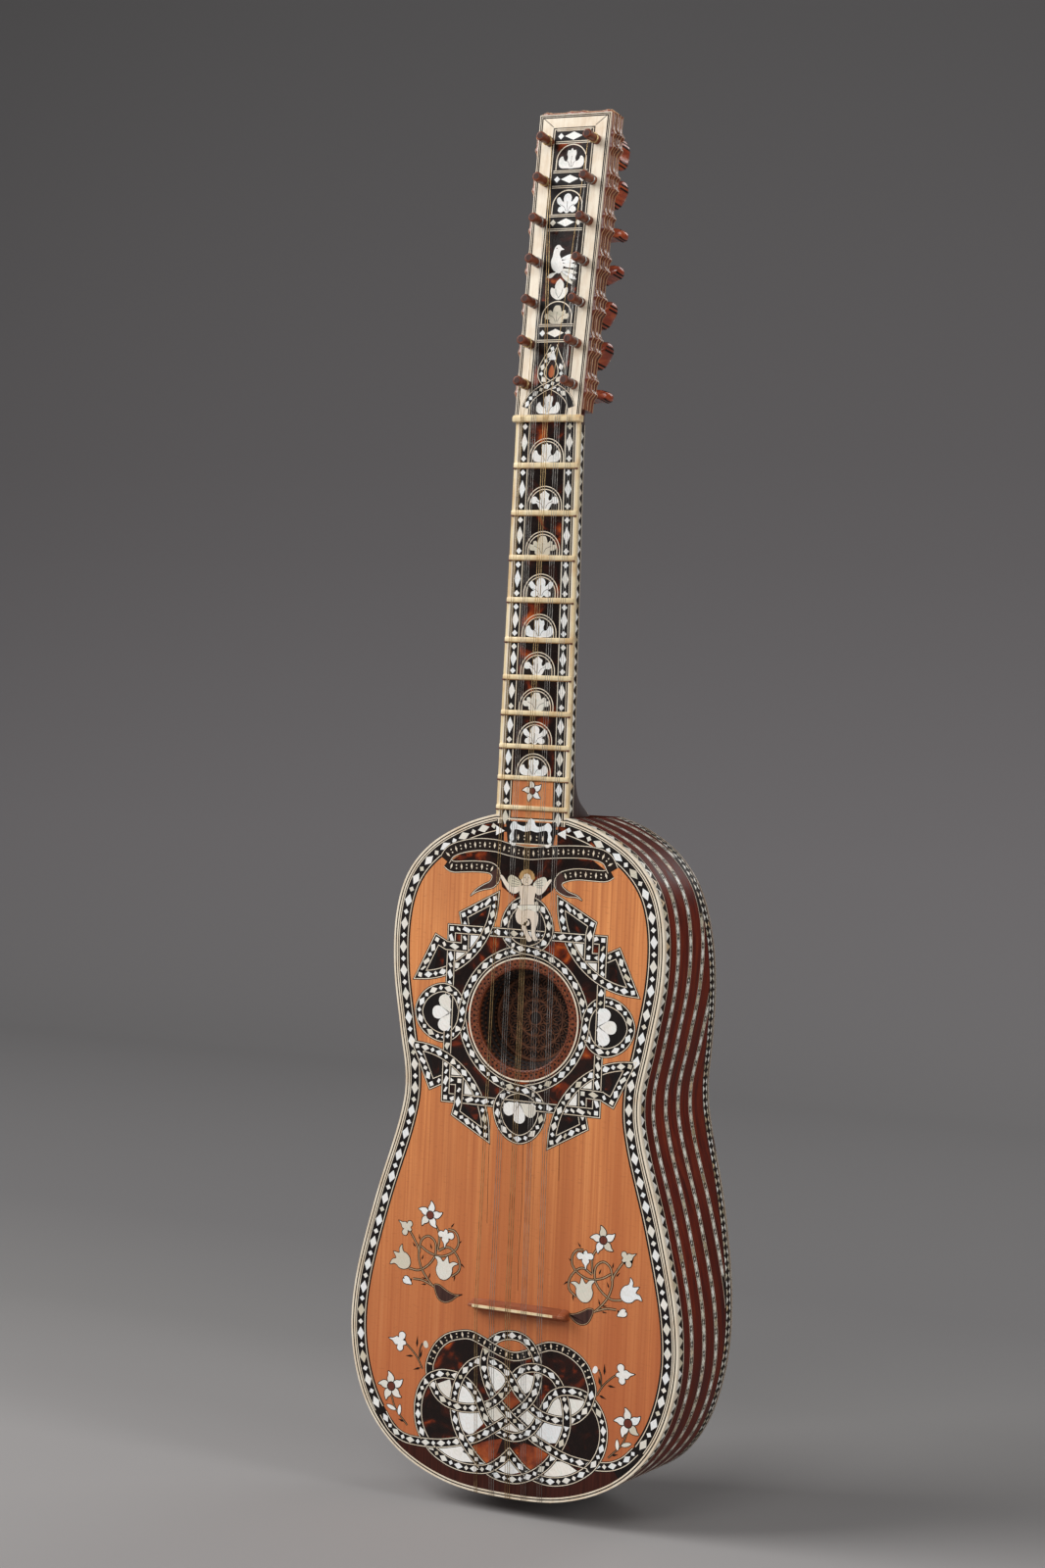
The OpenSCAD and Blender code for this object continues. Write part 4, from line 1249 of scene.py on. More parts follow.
def lay_head():
    work = Work(on_head)
    low, high = face_half(0), face_half(HEAD_LENGTH)
    frame_line = lambda inset: Path([(inset - low, 0.2), (inset - high, HEAD_LENGTH - inset),
                                     (high - inset, HEAD_LENGTH - inset), (low - inset, 0.2)])
    for inset, half in ((0.9, 0.35), (2.1, 0.45)):
        work.line(frame_line(inset), 0, half, "mastic", 0.04)
    panel = lambda grow: Path([(-13.0 - grow, 0.2), (-14.0 - grow, 192.2 + grow),
                               (14.0 + grow, 192.2 + grow), (13.0 + grow, 0.2)])
    work.plate(panel(0.4).pts, "black", 0.04)
    for grow, half, finish in ((0.4, 0.3, "bone"), (1.1, 0.45, "mastic"), (-0.3, 0.4, "mastic")):
        work.ribbon(panel(grow), half, -half, finish, 0.06)
    for s0, s1 in ((0.3, 49.0), (76.5, 123.5), (165.5, 183)):
        work.plate([(-12.4, s0), (-12.6, s1), (12.6, s1), (12.4, s0)], "tortoise", 0.05)
    for side in (-1, 1):
        work.ribbon(Path([(side * 15.6, 194.4), (side * 23.8, 200.9)]), 0.22, -0.22, "mastic", 0.05)
    for s0, s1 in ((183.6, 192.2), (153.4, 163.8), (124.4, 134.0), (49.5, 60.0)):
        for s in (s0, s1):
            for off in (-0.6, 0.6):
                work.ribbon(Path([(-12.7, s + off), (12.7, s + off)]), 0.25, -0.25, "bone", 0.08)
        row = Path([(-12, (s0 + s1) / 2), (12, (s0 + s1) / 2)])
        lozenge(work, row, 12, 13.0, 5.6, 0.1)
        for s in (2.6, 21.4):
            lozenge(work, row, s, 4.4, 4.4, 0.1)
    for s0, crown, kind in ((165.0, 182.0, 0), (135.0, 151.0, 3), (60.6, 76.0, 2)):
        r = 11.0
        legs = Path([(r, s0)] + arc(0, crown - r, r, 0, 180, 24) + [(-r, s0)])
        work.ribbon(legs, 0.35, -0.35, "bone", 0.09)
        palmette(work, 0, s0 + 0.6, 18.5, crown - s0 - 3.0, kind, 0.1)
    half = smooth([(0, 0), (2.2, 0.6), (4.8, 2.4), (6.4, 5.6), (5.8, 8.4), (3.4, 7.6), (3.2, 10.2),
                   (2.0, 12.6), (0, 14.4)], steps=3)
    work.plate(placed(half + mirrored(half)[1:-1], 0, 77), "pearl", 0.1)
    for lean in (-1, 1):
        work.ribbon(Path(smooth([(0, 78.5), (lean * 2.0, 81.5), (lean * 2.6, 84.6)], steps=3)), 0.13, -0.13,
                    "mastic", 0.12)
    lay_dove(work)
    rise = smooth([(-17.6, 0.3), (-16.6, 6.0), (-13.0, 12.0), (-7.0, 16.6), (0, 20.0), (5.2, 23.2),
                   (7.4, 27.6), (6.4, 33.0), (3.0, 39.4), (0, 46.0)], steps=5)
    rise = [p for p in rise if abs(p.x) < 17.0]
    fall = mirrored(rise)[::-1]
    end = Path(rise).length
    weave(work, [Path(rise), Path(fall)], half=3.0, line=2.5, pearls=(9.4, 6.6, 3.8, 3.1),
          plain=[(k, end - 11, end + 1) if k == 0 else (k, -1, 11) for k in (0, 1)])
    work.plate([(0, 43.6), (-2.9, 36.8), (2.9, 36.8)], "pearl", 0.2)
    drop = rounded([(0, 33.5), (1.9, 29.5), (1.7, 26.4), (0, 24.8), (-1.7, 26.4), (-1.9, 29.5)])
    work.plate(drop, "shell", 0.1)
    palmette(work, 0, 0.4, 17.0, 13.4, 0, 0.14)
    return work


def lay_dove(work):
    """A small generic dove with spread wing and tail."""
    body = rounded([(-2.2, 95), (-6.4, 98.0), (-8.0, 102.5), (-7.0, 107), (-6.6, 110.6), (-5.0, 113.6),
                    (-2.6, 114.0), (-0.9, 112.2), (1.0, 110.9), (-1.4, 110.2), (-2.0, 107.5), (-0.4, 104.4),
                    (1.4, 100), (0.4, 96)], 4)
    work.plate(body, "pearl", 0.12)
    for root, tip, width in (((-0.8, 104.6), (8.8, 106.8), 3.0), ((-0.4, 102.8), (10.6, 103.2), 3.2),
                             ((0.0, 101.0), (11.6, 99.2), 3.2), ((0.4, 97.6), (12.0, 94.6), 2.8),
                             ((0.6, 96.6), (11.8, 90.4), 3.0), ((-0.2, 95.6), (9.4, 87.4), 3.0),
                             ((-3.0, 95.4), (-9.6, 92.4), 3.2)):
        a, b = Vector(root), Vector(tip)
        angle = math.degrees(math.atan2(b.y - a.y, b.x - a.x))
        feather = rounded([(0, 0), (0.3, 0.10), (0.7, 0.5 * width / (b - a).length), (1.0, 0.0),
                          (0.7, -0.45 * width / (b - a).length), (0.3, -0.12)])
        outlined(work, placed(feather, a.x, a.y, (b - a).length, angle), "pearl", 0.25, 0.14)
    work.plate(circle(-4.6, 111.9, 0.4, 8), "mastic", 0.14)


# ---- body, neck and head -------------------------------------------------------------------------

LINE_WIDTH = 5.5
STRIP_Y = 9.5
REAR_STRIP = 8.0
STAVES = 7
NECK_SIDES = 40


def line_y(k):
    return 18.75 + 19 * (k - 1)


def rear_front(p):
    return rear_end(p) - REAR_STRIP


def side_strip(work, front, back, finish, lift=0.0, depth=WALL):
    """A strip of the side between two depths, each a number or a rule for a point of the outline."""
    rings, run = [], []
    pick = lambda rule, p: rule(p) if callable(rule) else rule
    for p, m in zip(side_run.pts, side_run.sides):
        y0, y1 = pick(front, p), min(pick(back, p), rear_front(p) if back is not rear_end else 1e9)
        if y1 - y0 < 0.15:
            if len(run) > 2:
                rings.append(run)
            run = []
            continue
        out, inn = p - lift * m, p + depth * m
        run.append([spot(out.x, y0, out.y), spot(out.x, y1, out.y), spot(inn.x, y1, inn.y),
                    spot(inn.x, y0, inn.y)])
    if len(run) > 2:
        rings.append(run)
    for r in rings:
        work.loft(r, finish)


def steps_along(pitch):
    """How many equal steps of about this length fit along the side, and their true length."""
    count = round(side_run.length / pitch)
    return count, side_run.length / count


def diamond(u, v, a, b):
    return [(u - a, v), (u, v - b), (u + a, v), (u, v + b)]


def build_sides():
    strip = Work(on_side)
    side_strip(strip, TABLE_THICK, STRIP_Y, "mastic", -0.15)
    for v in (3.0, 9.0):
        side_strip(strip, v - 0.25, v + 0.25, "bone", -0.1, -0.5 + WALL)
    count, step = steps_along(7.2)
    for i in range(count):
        u = (i + 0.5) * step
        strip.plate([(u - 3.3, 3.5), (u + 3.3, 3.5), (u, 8.4)], "aged_pearl", -0.09)
    strip.make("front_edge_inlay", "inlay_strip", 40, ("front_edge_strip",))
    for k in range(1, 6):
        rib = Work()
        front = STRIP_Y if k == 1 else line_y(k - 1) + LINE_WIDTH
        back = rear_front if k == 5 else line_y(k)
        side_strip(rib, front, back, "rib", -0.15)
        rib.make(f"rib_band_{k}", "rib_wood", 40, (f"rib_{k}",))
    lines = Work(on_side)
    for k in range(1, 5):
        y = line_y(k)
        side_strip(lines, y, y + LINE_WIDTH, "mastic", -0.15)
        for v in (y + 0.45, y + LINE_WIDTH - 0.45):
            side_strip(lines, v - 0.2, v + 0.2, "bone", -0.1, 1.5)
        count, step = steps_along(10.4)
        for i in range(count):
            u, mid = (i + 0.5 + 0.13 * k) * step, y + LINE_WIDTH / 2
            if u > side_run.length - 4 or mid + 2 > edge_depth(u) - REAR_STRIP:
                continue
            lines.plate(diamond(u, mid, 4.3, 1.9), "aged_pearl", -0.08)
            lines.plate(diamond(u + step / 2, mid, 1.0, 0.9), "aged_pearl", -0.08)
            for off in (-1, 1):
                for tip in (-1, 1):
                    c = u + tip * 2.6
                    lines.plate([(c - 0.8, mid + off * 1.9), (c, mid + off * 1.2),
                                 (c + 0.8, mid + off * 1.9)], "aged_pearl", -0.09)
    lines.make("rib_line_inlay", "inlay_strip", 40, ("rib_lines",))
    rear = Work(on_rear)
    side_strip(rear, rear_front, rear_end, "mastic", -0.15)
    for v, half in ((7.4, 0.3), (3.5, 0.22)):
        side_strip(rear, lambda p: rear_end(p) - v - half, lambda p: rear_end(p) - v + half, "bone", -0.1,
                   1.5)
    count, step = steps_along(5.2)
    for i in range(count):
        u = (i + 0.5) * step
        rear.plate([(u - 2.3, 6.8), (u + 2.3, 6.8), (u, 4.2)], "aged_pearl", -0.09)
        rear.plate([(u - 2.4, 0.9), (u, 2.9), (u + 2.4, 0.9)], "aged_pearl", -0.09)
    rear.make("rear_edge_inlay", "inlay_strip", 40, ("rear_edge_strip",))


def back_run(u0, u1, finish, work, columns=6, top=0.0, bottom=-WALL, widen=(0.0, 0.0)):
    """A strip of the vaulted back from one share of the half-width to another."""
    rows = half_outline[1:]
    rings = []
    for p in rows:
        high, low = [], []
        for j in range(columns + 1):
            u = u0 + (u1 - u0) * j / columns
            x = u * p.x + (widen[0] + (widen[1] - widen[0]) * j / columns)
            x = max(0.06 - p.x, min(p.x - 0.06, x))
            high.append(spot(x, back_y(x, p.y) + top, p.y))
            low.append(spot(x, back_y(x, p.y) + bottom, p.y))
        rings.append(high + low[::-1])
    work.loft(rings, finish)


def build_back():
    for k in range(STAVES):
        work = Work()
        back_run(2 * k / STAVES - 1, 2 * (k + 1) / STAVES - 1, "stave", work, top=-0.08)
        work.make(f"back_panel_{k + 1}", "back_wood", 40, (f"back_stave_{k + 1}",))
    lines = Work()
    for k in range(1, STAVES):
        u = 2 * k / STAVES - 1
        back_run(u, u, "mastic", lines, 1, -0.05, -0.6, (-1.5, 1.5))
        for off in (-0.95, 0.95):
            back_run(u, u, "bone", lines, 1, -0.025, -0.6, (off - 0.22, off + 0.22))
    for side in (-1, 1):
        back_run(side, side, "bone", lines, 1, -0.03, -WALL + 0.1,
                 (-side * 2.2, 0.0) if side > 0 else (0.0, 2.2))
        back_run(side, side, "mastic", lines, 1, -0.04, -0.6,
                 (-side * 3.4, -side * 2.2) if side > 0 else (2.2, 3.4))
    lines.make("back_stringing", "inlay_strip", 40)


HEEL = [(452, 76), (455, 70), (459, 58), (464, 45), (471, 34), (482, 27), (500, 23.5), (560, 21),
        (640, 20.6), (711.3, 19.6)]


def neck_depth_at(z):
    fine = smooth(HEEL, steps=6)
    return float(np.interp(z, [p.x for p in fine], [p.y for p in fine]))


def neck_point(z, j, grow=0.0, lean=False):
    """A point of the neck's skin; j counts from its right edge, under it, to its left."""
    depth = neck_depth_at(z)
    a = math.pi * j / NECK_SIDES
    heel = max(0.0, depth - 18.5 - TABLE_THICK) / 55
    x = (neck_half(z) + grow) * math.cos(a) * (1 - 0.25 * heel * math.sin(a))
    y = TABLE_THICK + (depth + grow - TABLE_THICK) * math.sin(a) ** (0.75 + 0.45 * heel)
    return spot(x, y, NUT_Z - (y - HEAD_Y) * math.tan(HEAD_LEAN) if lean else z)


NECK_STATIONS = [452, 453, 454, 455.5, 457, 459, 461.5, 464, 467, 471, 476, 482, 490, 500, 520, 560, 600,
                 640, 680, NUT_FOOT_Z]


def build_neck():
    work = Work()
    rings = [[neck_point(z, j) for j in range(NECK_SIDES + 1)] for z in NECK_STATIONS]
    rings.append([neck_point(NUT_FOOT_Z, j, lean=True) for j in range(NECK_SIDES + 1)])
    work.loft(rings, "neck")
    for start, tall, finish, lift in ((0.2, 4.6, "mastic", 0.05), (0.2, 0.5, "bone", 0.08),
                                      (4.6, 0.5, "bone", 0.08)):
        for side in (-1, 1):
            rings = []
            for z in (453, 456, 459, 463, 468, 475, 485, 500, 540, 600, 660, NUT_FOOT_Z - 1.5):
                x = side * (neck_half(z) + lift)
                inn = x - side * 1.4
                y0, y1 = TABLE_THICK + start, TABLE_THICK + start + tall
                rings.append([spot(x, y0, z), spot(x, y1, z), spot(inn, y1, z), spot(inn, y0, z)])
            work.loft(rings, finish)
    for side in (-1, 1):
        z = 458.0
        while z < NUT_FOOT_Z - 6:
            x = side * (neck_half(z) + 0.12)
            inn = x - side * 1.0
            work.loft([[spot(q, 3.4, z - 2.9), spot(q, 3.4, z + 2.9), spot(q, 6.6, z)] for q in (x, inn)],
                      "aged_pearl")
            z += 7.4
    for share in (0.3, 0.5, 0.7):
        rings = []
        for z in NECK_STATIONS[1:-1]:
            j = share * NECK_SIDES
            p, q = neck_point(z, j - 0.25, 0.06), neck_point(z, j + 0.25, 0.06)
            c = spot(0, 12, z)
            inner = lambda w: w + (c - w).normalized() * 0.0008
            rings.append([p, q, inner(q), inner(p)])
        work.loft(rings, "bone")
    work.make("neck_and_heel", "rib_wood", 40, ("neck",))


# each moulded layer of the head's edge: place, start and end behind the face, how far it stands out
EDGE_LAYERS = [("front", 1.6, 6.2, 3.4), ("middle", 6.2, 10.8, 5.2), ("back", 10.8, HEAD_THICK, 4.4)]


THREAD = [(-0.3, 0.5), (-0.22, -0.02), (0.22, -0.02), (0.3, 0.5)]


def face_half(s):
    return 24 + 2.4 * s / HEAD_LENGTH


def scallop(s):
    """The wave of the head's edge: two small lobes at each peg with a long hollow between pegs."""
    gap = abs((s - FIRST_PEG + PEG_PITCH / 2) % PEG_PITCH - PEG_PITCH / 2)
    lobe = 0.86 * math.exp(-((gap - 4.4) / 2.5) ** 2)
    shoulder = 0.45 * math.exp(-(gap / 6.2) ** 4)
    return min(1.0, max(lobe, shoulder))


def head_rim(swell):
    """The wavy outline of one layer of the head's edge, from the left of the nut round to its right."""
    right = [(face_half(s) + swell * (0.34 + 0.64 * scallop(s)), s)
             for s in np.arange(4, HEAD_LENGTH + 0.3, 0.8)]
    top = [(x, HEAD_LENGTH + swell * (0.46 + 0.3 * scallop(x + FIRST_PEG)))
           for x in np.arange(23, -23.5, -1.0)]
    pts = [Vector(p) for p in right + top] + [Vector((-p[0], p[1])) for p in reversed(right)]
    return Path(pts)


def build_head():
    for k, (place, y0, y1, swell) in enumerate(EDGE_LAYERS, 1):
        work = Work(on_head)
        rim = head_rim(swell)
        cuts = [(0, 0.9), (0.3, 0.35), (1.0, 0.08), (1.8, 0.0)]
        profile = [(y0 + d, cut) for d, cut in cuts] + [(y1 - d, cut) for d, cut in reversed(cuts)]
        rings = []
        for p, m in zip(rim.pts, rim.sides):
            ring = [on_head(*(p + m * cut), -y) for y, cut in profile]
            back = Vector((max(-20.3, min(20.3, p.x)), min(p.y, HEAD_LENGTH - 4.5)))
            ring += [on_head(*back, -y1), on_head(*back, -y0)]
            rings.append(ring)
        work.loft(rings, "edge")
        for y in (y0 + 0.75, y1 - 0.75):
            bead = [[on_head(*(p + m * cut), -(y + d)) for d, cut in THREAD]
                    for p, m in zip(rim.pts, rim.sides)]
            work.loft(bead, "thread")
        work.make(f"head_moulding_{k}", "peg_wood", 45, (f"head_edge_{place}",))


# ---- pegs, strings, bridge -----------------------------------------------------------------------


def lathe(work, centre, profile, finish, sides=24):
    """Turns a profile of (distance behind the head's face, radius) about a peg's axis."""
    other = DOWN.cross(ACROSS)
    rings = []
    for d, r in profile:
        rings.append([centre + (DOWN * d + (ACROSS * math.cos(a) + other * math.sin(a)) * r) * MM
                      for a in turns(sides)])
    work.loft(rings, finish)


LEFT_TURNS = [20, 70, 0, 45, 90, 30, 60]
RIGHT_TURNS = [0, 118, 118, 155, 0, 115, 95]
GRIP = [(0, 3.0), (2.4, 2.7), (5.5, 2.8), (8, 3.4), (10, 6.0), (12.6, 8.8), (16.4, 10.2), (20.6, 10.3),
        (24.6, 8.3), (27.4, 4.8), (28.98, 1.0)]
GRIP_FOOT = 18.2
DOWN = Vector((0, math.cos(HEAD_LEAN), -math.sin(HEAD_LEAN)))
ALONG = Vector((0, math.sin(HEAD_LEAN), math.cos(HEAD_LEAN)))
ACROSS = Vector((1, 0, 0))


def which(side, row):
    return f"{'left' if side < 0 else 'right'}_{row}"


def row_of(i):
    return i + 1 if i < 7 else 14 - i


def wind_lift(row):
    return 4 + row % 3


def grip_size(d):
    """The half-width and half-thickness of the grip at a height above its foot, and how flat it is."""
    half = float(np.interp(d, [p[0] for p in GRIP], [p[1] for p in GRIP]))
    blade = min(1.0, max(0.0, (d - 7) / 5))
    return half, 2.9 + 1.05 * blade - 2.6 * max(0.0, (d - 23) / 6) ** 2, blade


def dished(blade, share):
    """How much thickness is left where the grip is hollowed between its two lobes."""
    return 1 - 0.34 * blade * math.exp(-(share ** 2) * 4)


def grip_ring(face, d, wide, thin):
    """A slice of the thumb grip: thick at its two lobes, dished between them."""
    half, flat, blade = grip_size(d)
    half = max(half, 0.3)
    ring = []
    for t in turns(28):
        c, sn = math.cos(t), math.sin(t)
        w = half * math.copysign(abs(c) ** 0.8, c)
        h = flat * math.copysign(abs(sn) ** 0.8, sn)
        dish = dished(blade, w / max(half, 1))
        ring.append(face + (DOWN * (GRIP_FOOT + d) + wide * w + thin * h * dish) * MM)
    return ring


def build_peg(side, row, turn):
    work = Work()
    s = peg_s(row)
    face = on_head(side * PEG_X, s, 0)
    lathe(work, face, [(-14.98, 2.2), (-14.7, 2.8), (-14.2, 3.1), (-13.2, 3.18), (-9, 3.1), (-8.6, 2.95),
                       (-4.4, 2.9), (-3.6, 3.05), (-2, 3.15), (15.4, 3.18)], "post")
    lathe(work, face, [(-14.99, 0.3), (-14.99, 2.1), (-14.9, 2.1), (-14.9, 0.3)], "leaf", 16)
    lathe(work, face, [(15.62, 3.9), (15.75, 4.4), (16.2, 4.58), (16.6, 4.4), (16.8, 3.9), (17.1, 3.8),
                       (17.4, 4.3), (17.9, 4.5), (18.15, 4.1), (18.2, 3.0)], "peg")
    lathe(work, face, [(16.72, 3.6), (16.74, 4.12), (17.02, 4.12), (17.04, 3.6)], "mastic")
    a = math.radians(turn)
    wide = ACROSS * math.cos(a) - ALONG * math.sin(a)
    thin = DOWN.cross(wide)
    work.loft([grip_ring(face, d, wide, thin) for d in (0, 2, 4, 6, 7.5, 8.5, 9.5, 10.5, 12, 13.5, 15, 17,
                                                        19, 21, 23, 24.5, 26, 27.2, 28.2, 28.7, 28.98)],
              "peg")
    for lobe in (-1, 1):
        for w0, w1 in ((4.6, 5.8), (7.2, 8.2)):
            hoop = []
            for w in (w0, (w0 + w1) / 2, w1):
                rim = []
                reach = 1 - (w / 10.6) ** 2 * 0.55
                for t in turns(20):
                    d = 18.6 + 8.6 * reach * math.cos(t)
                    half, flat, blade = grip_size(d)
                    share = min(1.0, w / max(half, 1))
                    h = min((flat * (1 - share ** 2.5) ** 0.4 + 0.14) * dished(blade, share), 4.0)
                    h = math.copysign(min(h, 4.0 * abs(math.sin(t)) ** 0.3), math.sin(t))
                    rim.append(face + (DOWN * (GRIP_FOOT + d) + wide * lobe * w + thin * h) * MM)
                hoop.append(rim)
            work.loft(hoop, "mastic")
    lathe(work, face, [(46.7, 1.5), (47.0, 1.45), (47.18, 0.9), (47.2, 0.2)], "bone", 12)
    peg = f"peg_{which(side, row)}"
    work.make(f"peg_turned_{which(side, row)}", "peg_wood", 50, (peg,), peg)


STRING_COUNTS = [2, 3, 3, 3, 3]
BRASS_R, STEEL_R = 0.28, 0.22
LANE_X = 13.1
DRAWN_SHARE = 0.68
COILS = 4
COIL_PITCH = 1.3


def string_r(course):
    return BRASS_R if course in (1, 3) else STEEL_R


def strand_x(mid, pitch, course, k):
    return mid + (course - 3) * pitch + (k - (STRING_COUNTS[course - 1] - 1) / 2) * 1.6


def tail_edge(x):
    low = [p for p in half_outline if p.y < 60]
    return float(np.interp(abs(x), [p.x for p in low], [p.y for p in low]))


def tube(work, path, r, finish, sides=10):
    rings = []
    n = len(path)
    up = Vector((0, 1, 0.3)).normalized()
    for i, p in enumerate(path):
        t = (path[min(i + 1, n - 1)] - path[max(i - 1, 0)]).normalized()
        u = t.cross(up).normalized()
        v = t.cross(u)
        rings.append([p + (u * math.cos(a) + v * math.sin(a)) * r * MM
                      for a in turns(sides)])
    work.loft(rings, finish)


def build_strings():
    first = 0
    for course in range(1, 6):
        work = Work()
        r = string_r(course)
        metal = "brass" if r == BRASS_R else "steel"
        for k in range(STRING_COUNTS[course - 1]):
            i = first + k
            side, row = (-1 if i < 7 else 1), row_of(i)
            outer = 1 if i in (0, 13) else -1
            tail_x, nut_x = strand_x(3, 12, course, k), strand_x(0, 8.75, course, k)
            edge = tail_edge(tail_x)
            depth = 12.2 + (3 if k == 1 else 0)
            lift = wind_lift(row)
            path = [spot(tail_x, depth - 0.6 - r - 0.1, edge - r - 0.6), spot(tail_x, 0.4, edge - r - 0.3),
                    spot(tail_x, -r - 0.12, edge - r * 0.6), spot(tail_x, -r - 0.3, edge + 0.4),
                    spot(strand_x(2, 11.9, course, k), -8.8 - r - 0.02, BRIDGE_Z),
                    spot(nut_x, -NUT_RISE - r - 0.02, NUT_FOOT_Z + 2.35)]
            if outer < 0 and abs(nut_x) > LANE_X:
                path += [on_head(side * LANE_X, peg_s(low), lift) for low in (1, 2) if row > low]
            end_x = side * (PEG_X + outer * (PEG_R + r))
            path.append(on_head(end_x, peg_s(row), lift))
            tube(work, path, r * DRAWN_SHARE, metal)
            wind = Work()
            wire = 0.6 * r
            profile = [(-wire, PEG_R - 0.2)]
            for turn in range(COILS):
                for t in (math.radians(angle) for angle in (-75, -40, 0, 40, 75)):
                    profile.append((turn * COIL_PITCH * r + wire * math.sin(t),
                                    PEG_R - 0.06 + wire * (1 + math.cos(t))))
            profile.append(((COILS - 1) * COIL_PITCH * r + wire, PEG_R - 0.2))
            lathe(wind, on_head(side * PEG_X, peg_s(row), lift), profile, metal)
            peg = which(side, row)
            wind.make(f"winding_{peg}", f"{metal}_wire", 60, body=f"peg_{peg}")
        work.make(f"wires_{course}", f"{metal}_wire", 60, (f"course_{course}",))
        first += STRING_COUNTS[course - 1]


def build_bridge():
    work = Work()
    mid = 7.0
    half = [(0, 4.0), (-1.0, 4.0), (-1.6, 3.5), (-5.4, 2.1), (-7.6, 1.3), (-8.5, 1.0), (-8.7, 0.7)]
    profile = [(y, -z) for y, z in half] + half[::-1]
    stations = [(-36.2, 0.55), (-35.9, 0.72), (-35.2, 0.84), (-34.0, 0.9), (-30, 0.93), (-10, 0.97),
                (16, 1.0), (29.6, 1.0), (30.4, 0.9), (31.2, 0.88), (31.8, 1.0), (33.6, 1.0), (35.0, 0.92),
                (35.9, 0.74), (36.2, 0.5)]
    work.loft([[spot(mid + x, y * (0.5 + 0.5 * k), BRIDGE_Z + z * k) for y, z in profile] for x,
               k in stations], "bridge")
    # a thin bone strip along the crown of the bridge; its pale colour also paints the bright highlight along
    # the ridge
    strip = ((-8.3, -1.0), (-8.8, -0.8), (-8.8, 0.8), (-8.3, 1.0))
    work.loft([[spot(mid + x, y, BRIDGE_Z + z) for y, z in strip] for x in (-32, 28)], "old_bone")
    work.make("bridge_body", "bridge_wood", 28, ("bridge",))


def bar(work, x0, x1, z, width, rise, finish):
    """A fret: a low bar with rounded edges lying across the board."""
    prof = [(0.2, -0.5), (-rise * 0.45, -0.5), (-rise * 0.85, -0.42), (-rise, -0.28), (-rise, 0.28),
            (-rise * 0.85, 0.42), (-rise * 0.45, 0.5), (0.2, 0.5)]
    rings = []
    for x, k in ((x0, 0.86), (x0 + 0.4, 1.0), (x1 - 0.4, 1.0), (x1, 0.86)):
        rings.append([spot(x, y if y > 0 else y * k, z + w * width * k) for y, w in prof])
    work.loft(rings, finish)


def build_frets():
    work = Work()
    for n in range(1, FRET_COUNT + 1):
        z, width = fret_z(n), fret_bar(n)
        half = neck_half(z) - 0.2
        bar(work, -half, half, z, width, 1.2, "old_bone")
        y, low = -0.42, z - width / 2 - 0.1
        tube(work, [spot(-half - 0.1, y, low), spot(half + 0.1, y, low)], 0.3, "old_brass", 8)
        for side in (-1, 1):
            tube(work, [spot(side * (half - 1.6), y, low), spot(side * (half - 1.4), y, low),
                        spot(side * half, y - 0.1, low), spot(side * (half + 0.2), y, low)], 0.62, "centre",
                 8)
    work.make("fret_bars", "bone", 40, ("frets",))
    nut = Work()
    front, lean = NUT_FOOT_Z, math.tan(HEAD_LEAN)
    prof = [(2.5, front), (-2.2, front), (-2.9, front + 0.5), (-NUT_RISE, front + 1.5),
            (-NUT_RISE, front + 3.0), (-2.4, front + 3.7), (-1.3, NUT_Z - 0.1),
            (2.5, NUT_Z - (2.5 - HEAD_Y) * lean)]
    xs = [(-25, 0.9), (-24.6, 1.0), (24.6, 1.0), (25, 0.9)]
    nut.loft([[spot(x, y * k if y < 0 else y, z) for y, z in prof] for x, k in xs], "old_bone")
    for x in (-14, -4.5, 4.5, 13.5):
        nut.loft([[spot(x + w, y, front + off) for w, y in ((-1.2, -2.4), (1.0, -2.4), (1.0, 0.0),
                                                            (-0.6, 0.0))] for off in (-0.04, 0.3)], "stain")
    nut.make("nut_bar", "bone", 35, ("nut",))


